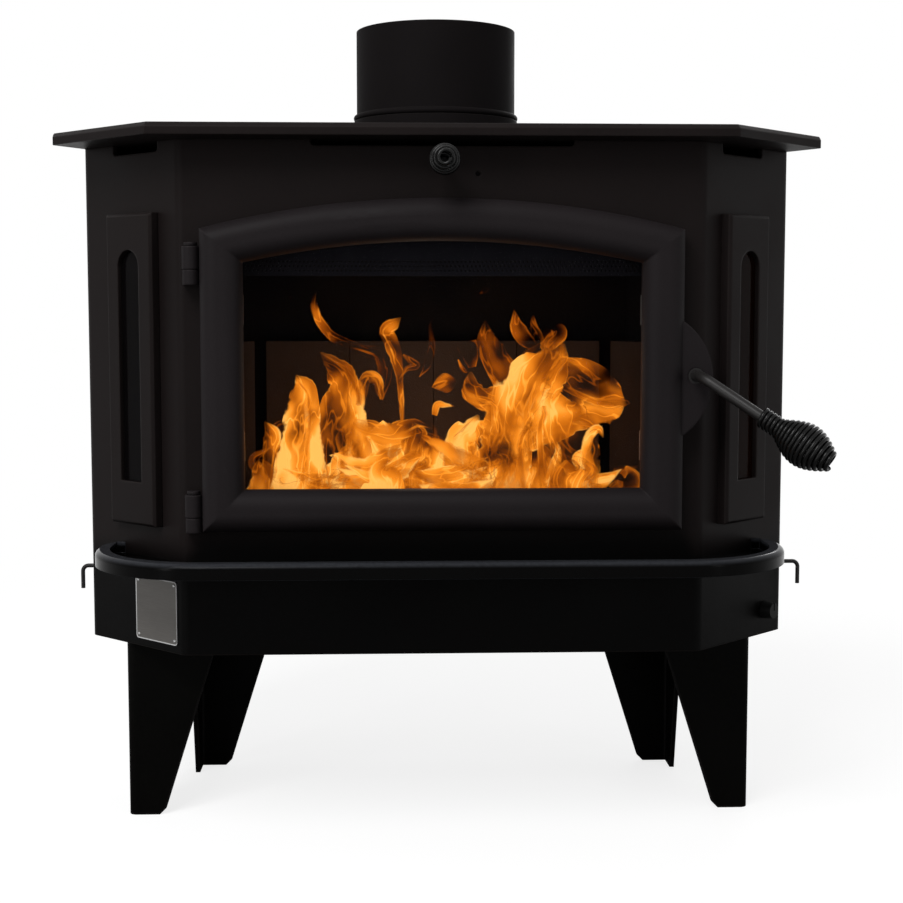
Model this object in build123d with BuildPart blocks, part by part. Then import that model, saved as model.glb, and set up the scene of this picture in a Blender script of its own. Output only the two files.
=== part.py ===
from build123d import *
import math
import os

os.makedirs("parts", exist_ok=True)

# Wood burning stove on legs. Millimetres, floor at z = 0, +Z up. The door faces -Y, and +X is
# to the right of someone who stands in front of it.

# Body: one bent plate makes the front, the two angled corners and the sides
front_width = 599.0
body_width = 852.0
body_depth = 500.0
body_height = 591.0
leg_height = 214.0
corner_angle = 45.0
sheet = 6.0
bend_radius = 14.0

# Top plate, flue collar and flue pipe
plate_thickness = 14.0
plate_overhang = 46.0
plate_corner_overhang = 54.0
plate_tip_out = 30.5
plate_bevel = 5.0
tip_clip = 3.5
flue_diameter = 203.2
flue_wall = 2.0
flue_behind_middle = 12.0
flue_rise = 148.0
flue_bead = 4.0
collar_wall = 3.0
collar_rise = 35.0
collar_flange = 10.0
collar_fit = 0.3

# Warm-air outlets under the top plate
outlet_height = 12.0
outlet_radius = 5.0
front_outlet_width = 300.0
front_outlet_height = 7.0

# Firebox and its brick lining
firebox_wall = 5.0
firebox_floor_rise = 122.0
firebox_roof_drop = 15.0
firebox_from_back = 90.0
firebox_side_gap = 50.0
firebox_draw_in = 100.0
firebox_weld_gap = 0.4
brick_length = 229.0
brick_side_room = 41.3
brick_thickness = 32.0
brick_joint = 1.0
brick_front_gap = 21.0
brick_columns = 4
side_bricks = 2

# Door with its arched head
door_side_gap = 25.5
door_lift = 43.0
door_head_gap = 66.7
door_head_radius = 1105.0
door_rail = 48.0
door_thickness = 33.0
door_standoff = 7.0
moulding_radius = 20.0
mouth_margin = 10.0
glass_thickness = 5.0
glass_lap = 12.0
glass_fit = 0.5
glass_tape = 2.0
rope_width = 12.0
rope_depth = 6.0
rope_inset = 15.0
rope_fit = 0.3
rope_gap = 0.4
clip_length = 34.0
clip_drop = 53.3
clip_thickness = 2.5
clip_screw = 4.0
clip_screw_head = 6.5
clip_head_height = 2.0

# Hinge
hinge_offset = 10.5
hinge_standoff = 14.0
hinge_pin = 10.0
hinge_fit = 0.06
knuckle_radius = 10.0
knuckle_height = 26.0
lug_radius = 9.5
lug_height = 17.0
hinge_gap = 0.4
hinge_low = 16.0
hinge_high = 80.3
pin_head_height = 4.0
pin_head_radius = 7.5

# Latch ear, handle shaft and its coil grip
ear_radius = 79.0
ear_reach = 32.5
ear_rise = 174.0
ear_thickness = 10.0
ear_standoff = 20.0
ear_bite = 6.0
ear_nick = 5.0
ear_nick_drop = 17.0
shaft_inset = 19.5
shaft_rise = 177.0
shaft_diameter = 12.7
shaft_fit = 0.06
shaft_bend = 20.0
handle_out = 64.0
handle_lean = 27.6
handle_dip = 35.5
handle_rod = 78.5
grip_length = 97.0
grip_turns = 15
grip_wire = 4.2
grip_neck = 28.0
grip_bulb = 47.0
grip_end = 21.0
bushing_wall = 2.6
bushing_flange = 2.0
bushing_flange_width = 2.5
cam_thickness = 9.0
cam_gap = 0.4
cam_radius = 13.0
cam_arm_length = 40.0
cam_arm_width = 9.0
keeper_diameter = 8.0
keeper_drop = 33.0
keeper_gap = 1.5
nut_across = 18.0
nut_thickness = 4.5

# Bypass pull and what it moves
bypass_drop = 28.0
bypass_rod = 9.5
bypass_fit = 0.4
bypass_grip_out = 24.0
bypass_grip_length = 66.0
bypass_grip_turns = 10
bypass_grip_neck = 18.0
bypass_grip_bulb = 35.0
bypass_grip_end = 15.0
probe_hole = 6.0
probe_hole_right = 40.0
probe_hole_drop = 38.0
baffle_drop = 64.0
baffle_thickness = 6.0
baffle_front_gap = 6.0
damper_width = 190.0
damper_length = 130.0
damper_thickness = 5.0
damper_seat = 0.3
damper_cover = 15.0
damper_lug_width = 30.0
damper_lug_thickness = 8.0
rail_width = 8.0
rail_height = 9.0
rail_length = 240.0
rail_fit = 0.5
combustor_width = 150.0
combustor_bar = 38.0
combustor_depth = 50.0
combustor_front_gap = 9.5
combustor_columns = 6
combustor_rows = 3
combustor_wall = 5.0

# Perforated guard of the air-wash duct, behind the head of the door opening
guard_side_lap = 18.8
guard_show = 38.3
guard_lap = 18.0
guard_thickness = 2.0
guard_foot = 24.0
guard_hole = 5.0
guard_columns = 18
guard_lines = 2
guard_pitch = 25.0
guard_line_pitch = 8.0
guard_margin = 6.0

# Side windows on the angled corners
window_width = 85.0
window_head_gap = 81.0
window_lift = 43.0
window_along = 79.0
window_thickness = 13.0
window_slot = 40.0
window_slot_sill = 51.0
window_slot_head = 42.0
window_lap = 10.0
window_edge = 3.0
window_tape = 2.0

# Ash shelf
shelf_side_gap = 21.0
shelf_reach = 100.0
shelf_end = 95.0
shelf_corner = 140.0
shelf_end_radius = 40.0
shelf_rise = 104.0
shelf_plate = 5.0
rim_width = 17.0
rim_height = 18.0
rim_round = 7.0

# Legs
leg_thickness = 6.0
leg_bend = 9.0
leg_top_width = 108.0
leg_foot_width = 45.0
leg_side_top = 92.0
leg_side_foot = 40.0
leg_foot_clip = 8.0
front_leg_inset = 46.5
front_leg_setback = 82.0
rear_leg_inset = 106.0
rear_leg_from_back = 200.0
leg_flange = 62.0
leg_bolt = 10.0
leg_bolt_head = 17.0
leg_bolt_head_height = 6.5
leg_bolt_spacing = 30.0
leg_bolt_fit = 0.3

# Primary-air pulls
air_rod = 5.0
air_rod_fit = 0.5
air_rod_drop = 28.0
air_rod_bend = 7.0
air_rod_below_floor = 38.0
air_rod_setback = 140.0
air_rod_out_left = 14.5
air_rod_out_right = 25.5
shutter_length = 90.0
shutter_width = 56.0
shutter_thickness = 3.0
shutter_fit = 0.4
shutter_inset = 76.0
shutter_tab = 3.0
guide_thickness = 3.0
guide_length = 150.0
guide_lip = 8.0
air_port = 22.0

# Blower, its speed control and the grille over its inlet
knob_diameter = 22.0
knob_height = 14.0
knob_from_side = 35.898
knob_rise = 30.0
knob_gap = 0.5
knob_shaft = 6.0
knob_shaft_fit = 0.1
control_diameter = 32.0
control_depth = 22.0
blower_rise = 56.0
blower_from_back = 75.0
wheel_diameter = 76.0
wheel_width = 66.0
wheel_blades = 16
wheel_blade_depth = 9.0
wheel_blade_thickness = 1.6
wheel_ring = 3.0
wheel_gap = 5.0
scroll_wall = 2.0
motor_diameter = 74.0
motor_length = 74.0
motor_gap = 6.0
motor_shaft = 8.0
motor_shaft_gap = 0.4
motor_foot = 4.0
inlet_width = 200.0
inlet_height = 78.0
grille_border = 14.0
grille_thickness = 2.0
grille_bar = 5.0
grille_slots = 7

# Worked out from the sizes above
half_front = front_width / 2
half_body = body_width / 2
corner_run = half_body - half_front
lean_cos = math.cos(math.radians(corner_angle))
lean_sin = math.sin(math.radians(corner_angle))
corner_depth = corner_run * lean_sin / lean_cos
body_top = leg_height + body_height
plate_top = body_top + plate_thickness
flue_setback = body_depth / 2 + flue_behind_middle
rear_leg_setback = body_depth - rear_leg_from_back
front_leg_half = half_body - front_leg_inset
rear_leg_half = half_body - rear_leg_inset
firebox_depth = body_depth - firebox_from_back
firebox_mouth_half = half_body - firebox_side_gap
firebox_back_half = firebox_mouth_half - firebox_draw_in
roof_top = body_top - firebox_roof_drop
floor_top = leg_height + firebox_floor_rise + firebox_wall
shelf_half = half_body - shelf_side_gap
shelf_height = leg_height + shelf_rise
door_sill = shelf_height + door_lift
door_crown = body_top - door_head_gap
half_door = half_front - door_side_gap
half_glass = half_door - door_rail
hinge_x = -half_door - hinge_offset
hinge_heights = (door_sill + hinge_low, door_crown - hinge_high)
ear_height = door_sill + ear_rise
shaft_height = door_sill + shaft_rise
shaft_x = half_door + ear_reach - shaft_inset
window_sill = shelf_height + window_lift
window_height = body_top - window_head_gap - window_sill
window_slot_height = window_height - window_slot_sill - window_slot_head
guard_sill = door_crown - door_rail - guard_show
guard_width = 2 * (half_glass + guard_side_lap)
bypass_height = body_top - bypass_drop
baffle_top = body_top - baffle_drop
damper_half_length = damper_length / 2
air_rod_height = leg_height + firebox_floor_rise - air_rod_below_floor
shutter_outer = firebox_mouth_half - shutter_inset
knob_along = corner_run / lean_cos - knob_from_side
knob_level = leg_height + knob_rise
blower_level = leg_height + blower_rise
blower_setback = body_depth - blower_from_back


def grip_shape(bore, length, turns, neck, bulb, end, neck_length):
    """Half section of a coil grip: one ridge for each turn of the wire, hollow behind the neck."""
    pitch = length / turns

    def coil_radius(at):
        if at <= neck_length:
            return neck / 2
        share = (at - neck_length) / (length - neck_length)
        base = neck / 2 + (end - neck) / 2 * share
        return base + (bulb / 2 - base) * math.sin(math.pi * share)

    groove = grip_wire * 0.3
    outside = []
    for turn in range(turns):
        outside.append((coil_radius(turn * pitch) - groove, turn * pitch))
        outside.append((coil_radius((turn + 0.5) * pitch), (turn + 0.5) * pitch))
    outside.append((end / 2, length))
    middle = (neck_length + length) / 2
    inside = [
        (end / 2 - grip_wire, length),
        (bulb / 2 - grip_wire * 1.5, middle),
        (bore, neck_length),
        (bore, 0),
    ]
    return outside, inside


handle_neck = shaft_diameter + 2 * grip_wire
handle_outside, handle_inside = grip_shape(
    shaft_diameter / 2, grip_length, grip_turns, handle_neck, grip_bulb, grip_end, grip_neck
)
handle_cos = math.cos(math.radians(handle_lean))
handle_sin = math.sin(math.radians(handle_lean))
handle_tip = handle_out + max(
    (handle_rod + along) * handle_sin + radius * handle_cos for radius, along in handle_outside
)

# The origin lies under the middle of the whole stove, handle included
front_y = (handle_tip - body_depth) / 2
back_y = front_y + body_depth
flue_y = front_y + flue_setback

front_plane = Plane(origin=(0, front_y, 0), x_dir=(1, 0, 0), z_dir=(0, -1, 0))
right_corner = Plane(
    origin=(half_front, front_y, 0), x_dir=(lean_cos, lean_sin, 0), z_dir=(lean_sin, -lean_cos, 0)
)
left_corner = Plane(
    origin=(-half_front, front_y, 0), x_dir=(lean_cos, -lean_sin, 0), z_dir=(-lean_sin, -lean_cos, 0)
)
sides = (("left", -1, left_corner), ("right", 1, right_corner))


def plan_points(inset, back):
    """Corners of the bent plate seen from above, moved inwards, from back left to back right."""
    front_shift = inset * math.tan(math.radians(corner_angle / 2))
    side_shift = inset * math.tan(math.radians((90 - corner_angle) / 2))
    right = [
        (half_front - front_shift, front_y + inset),
        (half_body - inset, front_y + corner_depth + side_shift),
        (half_body - inset, back),
    ]
    return [(-x, y) for x, y in reversed(right)] + right


def arched_outline(margin):
    """Door outline moved outwards from the glass opening, with its shallow arched head."""
    half = half_glass + margin
    radius = door_head_radius - door_rail + margin
    crown = door_crown - door_rail + margin
    spring = crown - radius + math.sqrt(radius**2 - half**2)
    bottom = door_sill + door_rail - margin
    with BuildLine() as outline:
        Polyline((half, spring), (half, bottom), (-half, bottom), (-half, spring))
        ThreePointArc((-half, spring), (0, crown), (half, spring))
    return outline.edges()


def window_outline(margin, hand):
    """Side window slot on a corner plane, flat sill and round head, moved outwards."""
    half = window_slot / 2 + margin
    centre = hand * window_along
    sill = window_sill + window_slot_sill - margin
    spring = window_sill + window_slot_sill + window_slot_height - window_slot / 2
    with BuildLine() as outline:
        Polyline((centre + half, spring), (centre + half, sill), (centre - half, sill), (centre - half, spring))
        ThreePointArc((centre - half, spring), (centre, spring + half), (centre + half, spring))
    return outline.edges()


# Outer body: a single plate folded at four bends, with the fire mouth, the side window openings,
# the warm-air outlets along its top edge and the holes for the pulls, the knob and the probe
outer_plan = plan_points(0, back_y)
inner_plan = plan_points(sheet, back_y)
mouth_outline = arched_outline(mouth_margin)
with BuildPart() as body_shell:
    with BuildSketch(Plane.XY.offset(leg_height)):
        with BuildLine():
            FilletPolyline(*outer_plan, radius=bend_radius)
            Line(outer_plan[-1], outer_plan[0])
        make_face()
        with BuildLine():
            FilletPolyline(*inner_plan, radius=bend_radius - sheet)
            Line(inner_plan[-1], inner_plan[0])
        make_face(mode=Mode.SUBTRACT)
    extrude(amount=body_height)
    with BuildSketch(front_plane):
        make_face(mouth_outline)
        with Locations((0, bypass_height)):
            Circle(bypass_rod / 2 + bypass_fit)
        with Locations((probe_hole_right, body_top - probe_hole_drop)):
            Circle(probe_hole / 2)
        with Locations((0, body_top)):
            RectangleRounded(front_outlet_width, 2 * front_outlet_height, outlet_radius)
    extrude(amount=-2 * sheet, mode=Mode.SUBTRACT)
    for side, hand, corner in sides:
        opening = window_outline(window_lap / 2, hand)
        with BuildSketch(corner):
            make_face(opening)
            with Locations((hand * window_along, body_top)):
                RectangleRounded(window_width, 2 * outlet_height, outlet_radius)
        extrude(amount=2 * sheet, both=True, mode=Mode.SUBTRACT)
    with BuildSketch(right_corner):
        with Locations((knob_along, knob_level)):
            Circle(knob_shaft / 2 + knob_shaft_fit)
    extrude(amount=2 * sheet, both=True, mode=Mode.SUBTRACT)
    with BuildSketch(Plane.YZ):
        with Locations((front_y + air_rod_setback, air_rod_height)):
            Circle(air_rod / 2 + air_rod_fit)
    extrude(amount=body_width, both=True, mode=Mode.SUBTRACT)
body_shell.part.label = "body_shell"
export_step(body_shell.part, "parts/body_shell.step")

# Rear panel between the sides, with the blower inlet at its foot
half_inside = half_body - sheet
rear_plane = Plane(origin=(0, back_y, 0), x_dir=(-1, 0, 0), z_dir=(0, 1, 0))
panel_foot = leg_height + sheet
with BuildPart() as rear_panel:
    with BuildSketch(rear_plane):
        with Locations((0, (panel_foot + body_top) / 2)):
            Rectangle(2 * half_inside, body_top - panel_foot)
        with Locations((0, blower_level)):
            Rectangle(inlet_width, inlet_height, mode=Mode.SUBTRACT)
    extrude(amount=-sheet)
rear_panel.part.label = "rear_panel"
export_step(rear_panel.part, "parts/rear_panel.step")

# Legs stand under the bottom plate; each has a flat flange with two bolts
leg_places = (
    ("front_left", -1, -1, front_leg_half, front_y + front_leg_setback),
    ("front_right", 1, -1, front_leg_half, front_y + front_leg_setback),
    ("rear_left", -1, 1, rear_leg_half, front_y + rear_leg_setback),
    ("rear_right", 1, 1, rear_leg_half, front_y + rear_leg_setback),
)
bolt_places = []
for name, hand, way, half, corner_y in leg_places:
    for step in (-0.5, 0.5):
        bolt_places.append(
            (
                hand * (half - leg_thickness - leg_flange / 2 + step * leg_bolt_spacing),
                corner_y - way * (leg_thickness + leg_flange / 2 + step * leg_bolt_spacing),
            )
        )

# Bottom plate inside the folded plate
with BuildPart() as bottom_plate:
    with BuildSketch(Plane.XY.offset(leg_height)):
        with BuildLine():
            FilletPolyline(*inner_plan, radius=bend_radius - sheet)
            Line(inner_plan[-1], inner_plan[0])
        make_face()
        with Locations(*bolt_places):
            Circle(leg_bolt / 2 + leg_bolt_fit, mode=Mode.SUBTRACT)
    extrude(amount=sheet)
bottom_plate.part.label = "bottom_plate"
export_step(bottom_plate.part, "parts/bottom_plate.step")

# Top plate: hangs over the front and the angled corners, flush with the sides behind them
front_corner_x = half_front + (plate_corner_overhang - plate_overhang * lean_cos) / lean_sin
tip_x = half_body + plate_tip_out
tip_y = front_y + ((tip_x - half_front) * lean_sin - plate_corner_overhang) / lean_cos
right_edge = [
    (front_corner_x, front_y - plate_overhang),
    (tip_x - tip_clip * lean_cos, tip_y - tip_clip * lean_sin),
    (tip_x - tip_clip * lean_sin, tip_y + tip_clip * lean_cos),
    (half_body, front_y + corner_depth),
    (half_body, back_y),
]
top_points = right_edge + [(-x, y) for x, y in reversed(right_edge)]
with BuildPart() as top_plate:
    with BuildSketch(Plane.XY.offset(body_top)):
        with BuildLine():
            Polyline(*top_points, close=True)
        make_face()
        with Locations((0, flue_y)):
            Circle(flue_diameter / 2 + collar_wall + 2 * collar_fit, mode=Mode.SUBTRACT)
    extrude(amount=plate_thickness)
    front_edges = top_plate.faces().sort_by(Axis.Z)[-1].edges().filter_by(GeomType.LINE)
    front_edges = [edge for edge in front_edges if edge.center().Y < tip_y - tip_clip]
    chamfer(front_edges, length=plate_bevel)
top_plate.part.label = "top_plate"
export_step(top_plate.part, "parts/top_plate.step")

# Firebox: welded from five plates inside the body. Floor and roof reach forward to the folded
# plate, the two sides are drawn in towards the back, and the mouth stays open
inner_front_half = half_front - sheet * math.tan(math.radians(corner_angle / 2))
corner_slope = lean_sin / lean_cos
mouth_depth = sheet + (firebox_mouth_half - inner_front_half) * corner_slope
rear_wall_y = front_y + firebox_depth
cavity_back_y = rear_wall_y - firebox_wall
box_bottom = leg_height + firebox_floor_rise
wall_run = firebox_mouth_half - firebox_back_half
wall_depth = firebox_depth - mouth_depth
wall_length = math.hypot(wall_run, wall_depth)
wall_along = (-wall_run / wall_length, wall_depth / wall_length)
wall_shift = firebox_wall * wall_length / wall_depth
taper = wall_run / wall_depth
box_right = [
    (inner_front_half, front_y + sheet),
    (firebox_mouth_half, front_y + mouth_depth),
    (firebox_back_half, rear_wall_y),
]
box_points = [(-x, y) for x, y in reversed(box_right)] + box_right
port_x = shutter_outer - shutter_length / 2
with BuildPart() as firebox_floor:
    with BuildSketch(Plane.XY.offset(box_bottom)) as floor_sketch:
        with BuildLine():
            Polyline(*box_points, close=True)
        make_face()
        fillet(floor_sketch.vertices().group_by(Axis.Y)[0], radius=bend_radius - sheet)
        with Locations((-port_x, front_y + air_rod_setback), (port_x, front_y + air_rod_setback)):
            Circle(air_port / 2, mode=Mode.SUBTRACT)
    extrude(amount=firebox_wall)
firebox_floor.part.label = "firebox_floor"
export_step(firebox_floor.part, "parts/firebox_floor.step")

with BuildPart() as firebox_roof:
    with BuildSketch(Plane.XY.offset(roof_top - firebox_wall)) as roof_sketch:
        with BuildLine():
            Polyline(*box_points, close=True)
        make_face()
        fillet(roof_sketch.vertices().group_by(Axis.Y)[0], radius=bend_radius - sheet)
        with Locations((0, flue_y)):
            Circle(flue_diameter / 2, mode=Mode.SUBTRACT)
    extrude(amount=firebox_wall)
firebox_roof.part.label = "firebox_roof"
export_step(firebox_roof.part, "parts/firebox_roof.step")

front_cut = wall_shift / (1 + taper * corner_slope)
side_wall = [
    (firebox_mouth_half, front_y + mouth_depth),
    (firebox_back_half, rear_wall_y),
    (firebox_back_half - wall_shift, rear_wall_y),
    (firebox_mouth_half - front_cut, front_y + mouth_depth - front_cut * corner_slope),
]
back_wall_width = 2 * (firebox_back_half - wall_shift - firebox_weld_gap)
with BuildPart() as firebox_walls:
    with BuildSketch(Plane.XY.offset(floor_top)):
        with BuildLine():
            Polyline(*side_wall, close=True)
        make_face()
        mirror(about=Plane.YZ)
        with Locations((0, rear_wall_y - firebox_wall / 2)):
            Rectangle(back_wall_width, firebox_wall)
    extrude(amount=roof_top - firebox_wall - floor_top)
firebox_walls.part.label = "firebox_walls"
export_step(firebox_walls.part, "parts/firebox_walls.step")

# Flue collar: flanged sleeve on the firebox roof, up through the top plate
collar_inner = flue_diameter / 2 + collar_fit
collar_outer = collar_inner + collar_wall
collar_top = plate_top + collar_rise
with BuildPart() as flue_collar:
    with BuildSketch(Plane.XY.offset(roof_top)):
        with Locations((0, flue_y)):
            Circle(collar_outer)
            Circle(collar_inner, mode=Mode.SUBTRACT)
    extrude(amount=collar_top - roof_top)
    with BuildSketch(Plane.XY.offset(roof_top)):
        with Locations((0, flue_y)):
            Circle(collar_outer + collar_flange)
            Circle(collar_inner, mode=Mode.SUBTRACT)
    extrude(amount=collar_wall)
flue_collar.part.label = "flue_collar"
export_step(flue_collar.part, "parts/flue_collar.step")

# Flue pipe: drops into the collar until its rolled bead lands on the collar's edge
pipe_outer = flue_diameter / 2
pipe_inner = pipe_outer - flue_wall
bead_middle = collar_top + flue_bead
pipe_foot = plate_top
with BuildPart() as flue_pipe:
    with BuildSketch(Plane.XZ.offset(-flue_y)):
        with BuildLine():
            Line((pipe_inner, pipe_foot), (pipe_outer, pipe_foot))
            Line((pipe_outer, pipe_foot), (pipe_outer, bead_middle - flue_bead))
            ThreePointArc(
                (pipe_outer, bead_middle - flue_bead),
                (pipe_outer + flue_bead, bead_middle),
                (pipe_outer, bead_middle + flue_bead),
            )
            Line((pipe_outer, bead_middle + flue_bead), (pipe_outer, plate_top + flue_rise))
            Line((pipe_outer, plate_top + flue_rise), (pipe_inner, plate_top + flue_rise))
            Line((pipe_inner, plate_top + flue_rise), (pipe_inner, pipe_foot))
        make_face()
    revolve(axis=Axis((0, flue_y, 0), (0, 0, 1)))
flue_pipe.part.label = "flue_pipe"
export_step(flue_pipe.part, "parts/flue_pipe.step")

# Brick lining: floor bricks flat on the firebox floor, back and side bricks standing on it
brick_row_width = 2 * (firebox_back_half - wall_shift - brick_side_room)
brick_width = (brick_row_width - (brick_columns - 1) * brick_joint) / brick_columns
brick_pitch = brick_width + brick_joint
brick_row = [(column - (brick_columns - 1) / 2) * brick_pitch for column in range(brick_columns)]
back_brick_y = cavity_back_y - brick_joint - brick_thickness
with BuildPart() as bricks_back:
    with BuildSketch(Plane.XY.offset(floor_top)):
        with Locations(*[(x, back_brick_y + brick_thickness / 2) for x in brick_row]):
            Rectangle(brick_width, brick_thickness)
    extrude(amount=brick_length)
bricks_back.part.label = "bricks_back"
export_step(bricks_back.part, "parts/bricks_back.step")

floor_row_back = back_brick_y - brick_joint - brick_width / 2
front_row_end = back_brick_y - 2 * brick_joint - brick_width
front_row_length = front_row_end - front_y - sheet - brick_front_gap
with BuildPart() as bricks_floor:
    with BuildSketch(Plane.XY.offset(floor_top)):
        with Locations(*[(x, floor_row_back) for x in brick_row]):
            Rectangle(brick_width, brick_width)
        with Locations(*[(x, front_row_end - front_row_length / 2) for x in brick_row]):
            Rectangle(brick_width, front_row_length)
    extrude(amount=brick_thickness)
bricks_floor.part.label = "bricks_floor"
export_step(bricks_floor.part, "parts/bricks_floor.step")

for side, hand, corner in sides:
    wall_foot = Plane(
        origin=(hand * (firebox_back_half - wall_shift + taper * firebox_wall), cavity_back_y, floor_top),
        x_dir=(-hand * wall_along[0], -wall_along[1], 0),
        z_dir=(0, 0, 1),
    )
    row = [brick_thickness / 2 + brick_joint + (n + 0.5) * brick_pitch for n in range(side_bricks)]
    with BuildPart() as bricks_side:
        with BuildSketch(wall_foot):
            with Locations(*[(along, -hand * (brick_joint + brick_thickness / 2)) for along in row]):
                Rectangle(brick_width, brick_thickness)
        extrude(amount=brick_length)
    bricks_side.part.label = f"bricks_{side}"
    export_step(bricks_side.part, f"parts/bricks_{side}.step")

# Baffle under the roof: one window for the combustor, one that the damper covers


def cavity_half_at(depth):
    """Half width inside the firebox at a depth behind the front plate."""
    return firebox_mouth_half - wall_shift + taper * (mouth_depth - depth)


baffle_setback = mouth_depth + baffle_front_gap
baffle_right = [
    (cavity_half_at(baffle_setback), front_y + baffle_setback),
    (cavity_half_at(firebox_depth - firebox_wall), cavity_back_y),
]
damper_y = flue_y
combustor_setback = baffle_setback + combustor_front_gap
damper_window_front = flue_setback - damper_half_length + damper_cover
combustor_length = damper_window_front - combustor_bar - combustor_setback
combustor_y = front_y + combustor_setback + combustor_length / 2
with BuildPart() as baffle:
    with BuildSketch(Plane.XY.offset(baffle_top - baffle_thickness)):
        with BuildLine():
            Polyline(*baffle_right, *[(-x, y) for x, y in reversed(baffle_right)], close=True)
        make_face()
        with Locations((0, damper_y)):
            Rectangle(
                damper_width - 2 * damper_cover, damper_length - 2 * damper_cover, mode=Mode.SUBTRACT
            )
        with Locations((0, combustor_y)):
            Rectangle(combustor_width, combustor_length, mode=Mode.SUBTRACT)
    extrude(amount=baffle_thickness)
baffle.part.label = "baffle"
export_step(baffle.part, "parts/baffle.step")

# Catalytic combustor: ceramic honeycomb hung in the baffle by a thin lip
cell_pitch = (
    (combustor_width - combustor_wall) / combustor_columns,
    (combustor_length - combustor_wall) / combustor_rows,
)
with BuildPart() as combustor:
    with BuildSketch(Plane.XY.offset(baffle_top - combustor_depth)):
        with Locations((0, combustor_y)):
            Rectangle(combustor_width, combustor_length)
            with GridLocations(*cell_pitch, combustor_columns, combustor_rows):
                Rectangle(
                    cell_pitch[0] - combustor_wall, cell_pitch[1] - combustor_wall, mode=Mode.SUBTRACT
                )
    extrude(amount=combustor_depth)
combustor.part.label = "combustor"
export_step(combustor.part, "parts/combustor.step")

# Damper rails welded to the baffle, and the damper plate that slides between them
rail_x = damper_width / 2 + rail_fit + rail_width / 2
rail_y = damper_y + damper_half_length - rail_length / 2
with BuildPart() as damper_rails:
    with BuildSketch(Plane.XY.offset(baffle_top)):
        with Locations((-rail_x, rail_y), (rail_x, rail_y)):
            Rectangle(rail_width, rail_length)
    extrude(amount=rail_height)
damper_rails.part.label = "damper_rails"
export_step(damper_rails.part, "parts/damper_rails.step")

damper_foot = baffle_top + damper_seat
lug_y = damper_y - damper_half_length + damper_lug_thickness / 2
with BuildPart() as damper_plate:
    with BuildSketch(Plane.XY.offset(damper_foot)):
        with Locations((0, damper_y)):
            Rectangle(damper_width, damper_length)
    extrude(amount=damper_thickness)
    with BuildSketch(Plane.XY.offset(damper_foot + damper_thickness)):
        with Locations((0, lug_y)):
            Rectangle(damper_lug_width, damper_lug_thickness)
    extrude(amount=bypass_height - damper_foot - damper_thickness)
    with BuildSketch(Plane.XZ.offset(-lug_y)):
        with Locations((0, bypass_height)):
            Circle(bypass_rod / 2)
    extrude(amount=damper_lug_thickness, both=True, mode=Mode.SUBTRACT)
damper_plate.part.label = "damper_plate"
export_step(damper_plate.part, "parts/damper_plate.step")

# Bypass pull: round rod through the front plate, its coil grip end-on to the viewer
bypass_end = bypass_grip_out + bypass_grip_neck
bypass_tail = lug_y + damper_lug_thickness / 2 - front_y
with BuildPart() as bypass_pull:
    with BuildSketch(front_plane.offset(bypass_end)):
        with Locations((0, bypass_height)):
            Circle(bypass_rod / 2)
    extrude(amount=-(bypass_end + bypass_tail))
bypass_pull.part.label = "bypass_rod"
export_step(bypass_pull.part, "parts/bypass_rod.step")

bypass_outside, bypass_inside = grip_shape(
    bypass_rod / 2,
    bypass_grip_length,
    bypass_grip_turns,
    bypass_rod + 2 * grip_wire,
    bypass_grip_bulb,
    bypass_grip_end,
    bypass_grip_neck,
)
bypass_axis = Plane(
    origin=(0, front_y - bypass_grip_out, bypass_height), x_dir=(1, 0, 0), z_dir=(0, 0, 1)
)
with BuildPart() as bypass_grip:
    with BuildSketch(bypass_axis):
        with BuildLine():
            Polyline(*[(r, -a) for r, a in bypass_outside + bypass_inside], close=True)
        make_face()
    revolve(axis=Axis(bypass_axis.origin, (0, -1, 0)))
bypass_grip.part.label = "bypass_grip"
export_step(bypass_grip.part, "parts/bypass_grip.step")

# Perforated guard: angle strip welded behind the head of the mouth, two rows of holes low down
guard_face = Plane(
    origin=(0, front_y + sheet + guard_foot, 0), x_dir=(1, 0, 0), z_dir=(0, -1, 0)
)
guard_top = door_crown - door_rail + mouth_margin + guard_lap
guard_rows = guard_sill + guard_margin + guard_line_pitch / 2
with BuildPart() as guard:
    with BuildSketch(guard_face):
        with Locations((0, (guard_sill + guard_top) / 2)):
            Rectangle(guard_width, guard_top - guard_sill)
        with Locations((0, guard_rows)):
            with GridLocations(guard_pitch, guard_line_pitch, guard_columns, guard_lines):
                Circle(guard_hole / 2, mode=Mode.SUBTRACT)
    extrude(amount=guard_thickness)
    with BuildSketch(front_plane.offset(-sheet)):
        with Locations((0, guard_top - guard_thickness / 2)):
            Rectangle(guard_width, guard_thickness)
    extrude(amount=-guard_foot)
guard.part.label = "air_wash_guard"
export_step(guard.part, "parts/air_wash_guard.step")

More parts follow.
